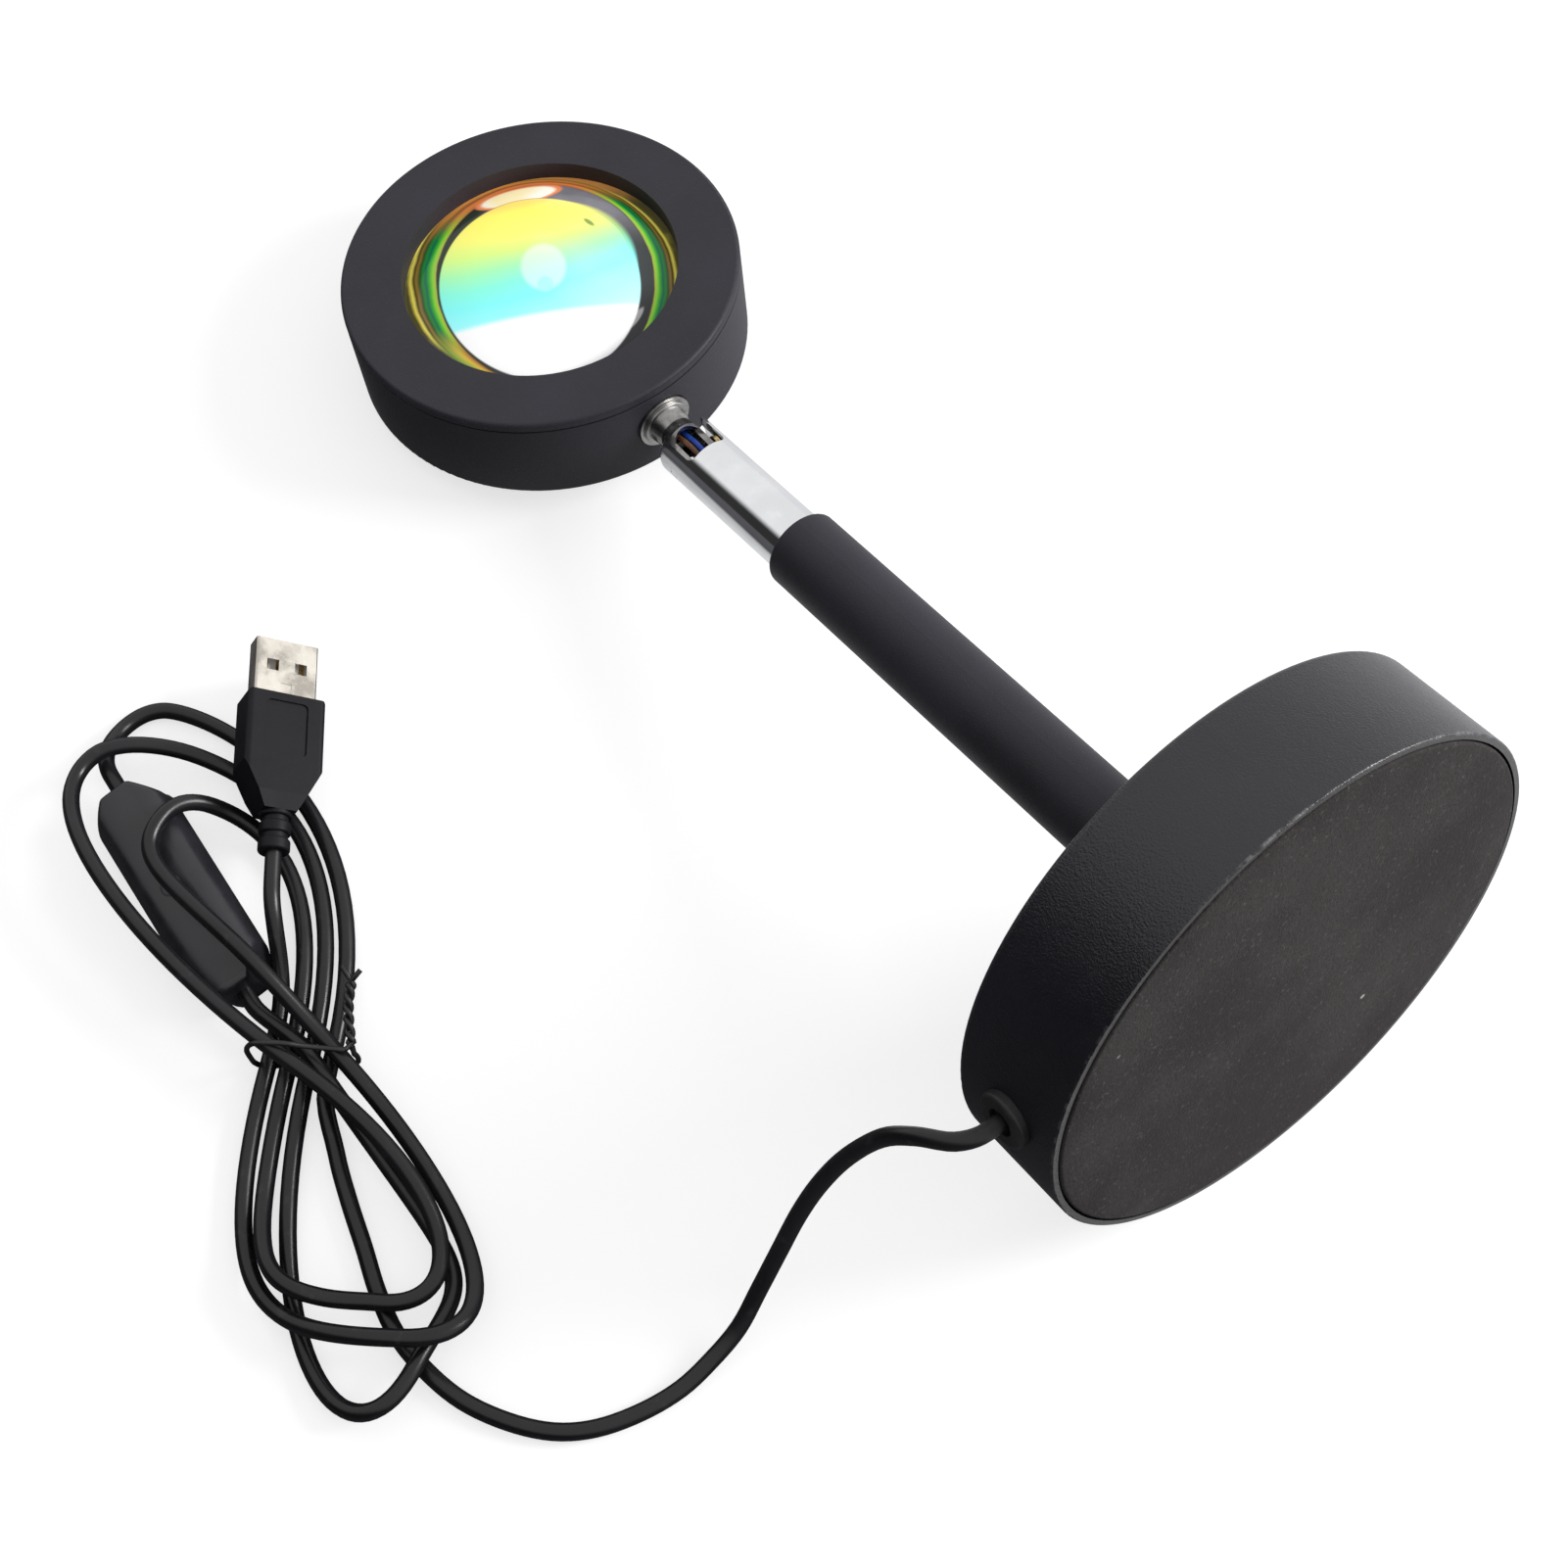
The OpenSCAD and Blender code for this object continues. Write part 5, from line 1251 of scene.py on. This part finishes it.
@dataclass(frozen=True)
class TwistTie:
    """The coated wire round the hank's waist with its twisted ends, in mm in the hank's frame."""

    radius: float = 0.5
    plane_y: float = 1.0
    right: float = 9.9
    left: float = -9.0
    top: float = 12.96
    low: float = 0.62
    turns: float = 2.5
    gap: float = 0.02
    smoothness: int = 3

    def _loop(self) -> list[Vector]:
        """The loop, from the twist under the bundle and back over it.

        Returns:
            Its points.
        """
        y, right, left, top = self.plane_y, self.right, self.left, self.top
        return [Vector(p) for p in (
            (right - 0.3, y, 6.6), (right, y, 4.6), (right - 0.5, y, 2),
            (right - 2.6, y, self.low), (0, y, self.low), (left + 2, y, self.low),
            (left + 0.3, y, 2), (left, y, 5), (left + 0.2, y, 9.4), (left + 1.7, y, top - 0.6),
            (-4.5, y, top), (-1.5, y, top - 0.5), (1.5, y, top - 2), (5, y, 9.7),
            (right - 1.6, y, 8.7))]

    def _pair(self) -> list[Vector]:
        """The middle line of the twisted ends.

        Returns:
            Its points.
        """
        y, right = self.plane_y, self.right
        return [Vector(p) for p in (
            (right - 0.7, y + 1.6, 8.2), (right - 1.2, y + 5, 8.8),
            (right - 1.4, y + 8.5, 9.6), (right - 1, y + 11.5, 10.4))]

    @staticmethod
    def _smooth(points: list[Vector], steps: int) -> list[Vector]:
        """A smooth line through points.

        Args:
            points: The points.
            steps: Steps between two of them.

        Returns:
            The line's points.
        """
        line = []
        for i in range(len(points) - 1):
            before, after = points[max(i - 1, 0)], points[min(i + 2, len(points) - 1)]
            for k in range(steps):
                line.append(hermite(points[i], (points[i + 1] - before) / 2, points[i + 1],
                                    (after - points[i]) / 2, k / steps))
        return line + [points[-1]]

    def build(self) -> None:
        """Makes the tie as one curve of three wires."""
        loop, core = self._loop(), self._smooth(self._pair(), 12)
        last = len(core) - 1

        def strand(start: float) -> list[Vector]:
            """One of the two twisted ends.

            Args:
                start: Where round the middle line it starts, in radians.

            Returns:
                Its points.
            """
            turned = [start + 2 * math.pi * self.turns * i / last for i in range(last + 1)]
            return [c + (self.radius + self.gap) * Vector((math.cos(a), 0, math.sin(a)))
                    for c, a in zip(core, turned)]

        tip = self._pair()[-1]
        start = Vector((self.right - 0.5, self.plane_y + 0.9, 7.9))
        lines = [
            [start] + self._smooth(loop, 6),
            [loop[-1]] + strand(0) + [tip + Vector((1.6, 2.6, 0.6))],
            [Vector((self.right - 0.5, self.plane_y + 0.6, 7.4))] + strand(math.pi)
            + [tip + Vector((-1.8, 3.4, 0.2))]]
        data = bpy.data.curves.new("twist_tie_wire", "CURVE")
        data.dimensions = "3D"
        data.bevel_depth = self.radius * MM
        data.bevel_resolution = self.smoothness
        data.use_fill_caps = True
        at = LIE.hank()
        for line in lines:
            spline = data.splines.new("POLY")
            spline.points.add(len(line) - 1)
            for point, p in zip(spline.points, line):
                point.co = (*((at @ p) * MM), 1)
            spline.use_smooth = True
        data.materials.append(WIRE_COAT.material())
        tie = bpy.data.objects.new("twist_tie_wire", data)
        bpy.context.collection.objects.link(tie)
        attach(tie, Body.BASE.value)
        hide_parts("twist_tie")
        log.info("twist tie: %d wires", len(lines))


@dataclass(frozen=True)
class SwitchBack:
    """The smooth upper shell of the in-line switch, in mm in the switch's frame."""

    length: float = 47.0
    width: float = 14.5
    height: float = 5.0
    round: float = 3.2
    soft: float = 0.9
    ring: float = 3.9
    ring_profile: tuple = ((-0.3, -0.02), (-0.18, 0.09), (0.0, 0.09), (0.12, -0.02))
    ring_steps: int = 48
    hard_turn: float = 24.0
    sharp_turn: float = 50.0
    near: float = 0.01
    tapers: tuple = (((-18.0, 7.25), (-23.5, 3.0)), ((17.5, 7.25), (22.5, 4.0)),
                     ((22.5, 4.0), (23.5, 3.0)))

    def build(self) -> None:
        """Makes the shell with its rounded long edges, tapered ends and ring mark."""
        bm = bmesh.new()
        bmesh.ops.create_cube(bm, size=1.0)
        bmesh.ops.scale(bm, vec=(self.length, self.width, self.height), verts=bm.verts)
        bmesh.ops.translate(bm, vec=(0, 0, self.height / 2), verts=bm.verts)
        long_top = [e for e in bm.edges
                    if min(v.co.z for v in e.verts) > self.height - self.near
                    and abs(e.verts[0].co.x - e.verts[1].co.x) > self.width]
        rounded(bm, long_top, self.round, 14)
        for start, end in self.tapers:
            for side in (-1, 1):
                self._cut(bm, start, end, side)
        bm.normal_update()
        hard = [e for e in bm.edges if max(v.co.z for v in e.verts) > self.near
                and len(e.link_faces) == 2
                and e.calc_face_angle(0) > math.radians(self.hard_turn)]
        rounded(bm, hard, self.soft, 4)
        self._mark(bm)
        placed(bm, LIE.switch())
        shell = finished("switch_back_shell", bm, SATIN.material(), Body.BASE,
                         self.sharp_turn)
        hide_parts("switch_back")
        log.info("switch back: %d faces", len(shell.data.polygons))

    @staticmethod
    def _cut(bm: bmesh.types.BMesh, start: tuple[float, float], end: tuple[float, float],
             side: int) -> None:
        """Cuts one upright slant off an end and closes the cut.

        Args:
            bm: The shell's mesh.
            start: One point of the slant in the plan.
            end: Its other point.
            side: 1 for the left side and -1 for the right side.
        """
        run = Vector((end[0] - start[0], side * (end[1] - start[1]), 0))
        outward = Vector((-run.y, run.x, 0))
        if outward.dot(Vector((start[0], side * start[1], 0))) < 0:
            outward.negate()
        cut = bmesh.ops.bisect_plane(
            bm, geom=[*bm.verts, *bm.edges, *bm.faces], dist=0.0001,
            plane_co=(start[0], side * start[1], 0), plane_no=outward, clear_outer=True)
        edges = [e for e in cut["geom_cut"] if isinstance(e, bmesh.types.BMEdge)]
        bmesh.ops.holes_fill(bm, edges=edges, sides=0)

    def _mark(self, bm: bmesh.types.BMesh) -> None:
        """Adds the low ring that stands on the middle of the back.

        Args:
            bm: The shell's mesh.
        """
        ring = bmesh.new()
        profile = [(self.ring / 2 + out, self.height + up) for out, up in self.ring_profile]
        lathe(ring, profile, self.ring_steps)
        mesh = bpy.data.meshes.new("switch_ring_mark")
        ring.to_mesh(mesh)
        ring.free()
        bm.from_mesh(mesh)
        bpy.data.meshes.remove(mesh)


# ---------- finishes of the model's own pieces ----------

@dataclass(frozen=True)
class Dressing:
    """Which finish each piece of the model wears."""

    finishes: dict = field(default_factory=lambda: {
        "base_shell": BASE_COAT, "base_weight": IRON, "base_plate": STEEL,
        "base_screws": STEEL, "cable_grommet": RUBBER, "inner_lead": CORD,
        "pole_nipple": BRASS, "pole_nut": STEEL, "pole_washer": STEEL, "pole_foot": STEEL,
        "pole_tube": COAT, "joint_sleeve": CHROME, "joint_pin": CHROME,
        "joint_washers": BRASS, "joint_knuckle": NICKEL, "wire_blue": BLUE,
        "wire_brown": BROWN, "head_washer": NICKEL, "lock_washer": STEEL, "stub_nut": STEEL,
        "head_housing": COAT, "head_bezel": COAT, "lens": OPTIC, "colour_filter": AMBER,
        "lens_gasket": RUBBER, "lens_retainer": STEEL, "reflector": WHITE,
        "led_board": WHITE, "led": DIODE, "heat_sink": ALUMINIUM, "board_screws": STEEL,
        "head_screws": STEEL, "lead_blue": BLUE, "lead_brown": BROWN,
        "switch_front": SATIN, "switch_rocker": SATIN,
        "switch_contacts": BRASS, "switch_screw": STEEL, "usb_shell": PLUG_METAL,
        "usb_tongue": WHITE, "usb_contacts": BRASS, "usb_grip": PLUG_PLASTIC})

    def build(self) -> None:
        """Gives each piece of the model its finish."""
        for name, finish in self.finishes.items():
            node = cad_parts[name]
            node.data.materials.clear()
            node.data.materials.append(finish.material())
        log.info("finishes: %d pieces dressed", len(self.finishes))


def write_sizes() -> None:
    """Meant to write the model's box and the dressed lamp's box as plain lists; it writes nothing
    and only defines a helper.
    """
    def plain(box: object) -> list:
        """A box as two lists of numbers."""
        return [[float(v) for v in corner] for corner in box]


def main() -> None:
    """Builds the camera, the cords, the studio and the lamp's pieces in order."""
    logging.basicConfig(level=logging.INFO, format="%(message)s")
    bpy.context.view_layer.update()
    PhotoCamera().build()
    Cord().build()
    Studio().build()
    for part in (FoamPad(), TwistTie(), SwitchBack(), Dressing()):
        part.build()
    write_sizes()


if __name__ == "__main__":
    main()
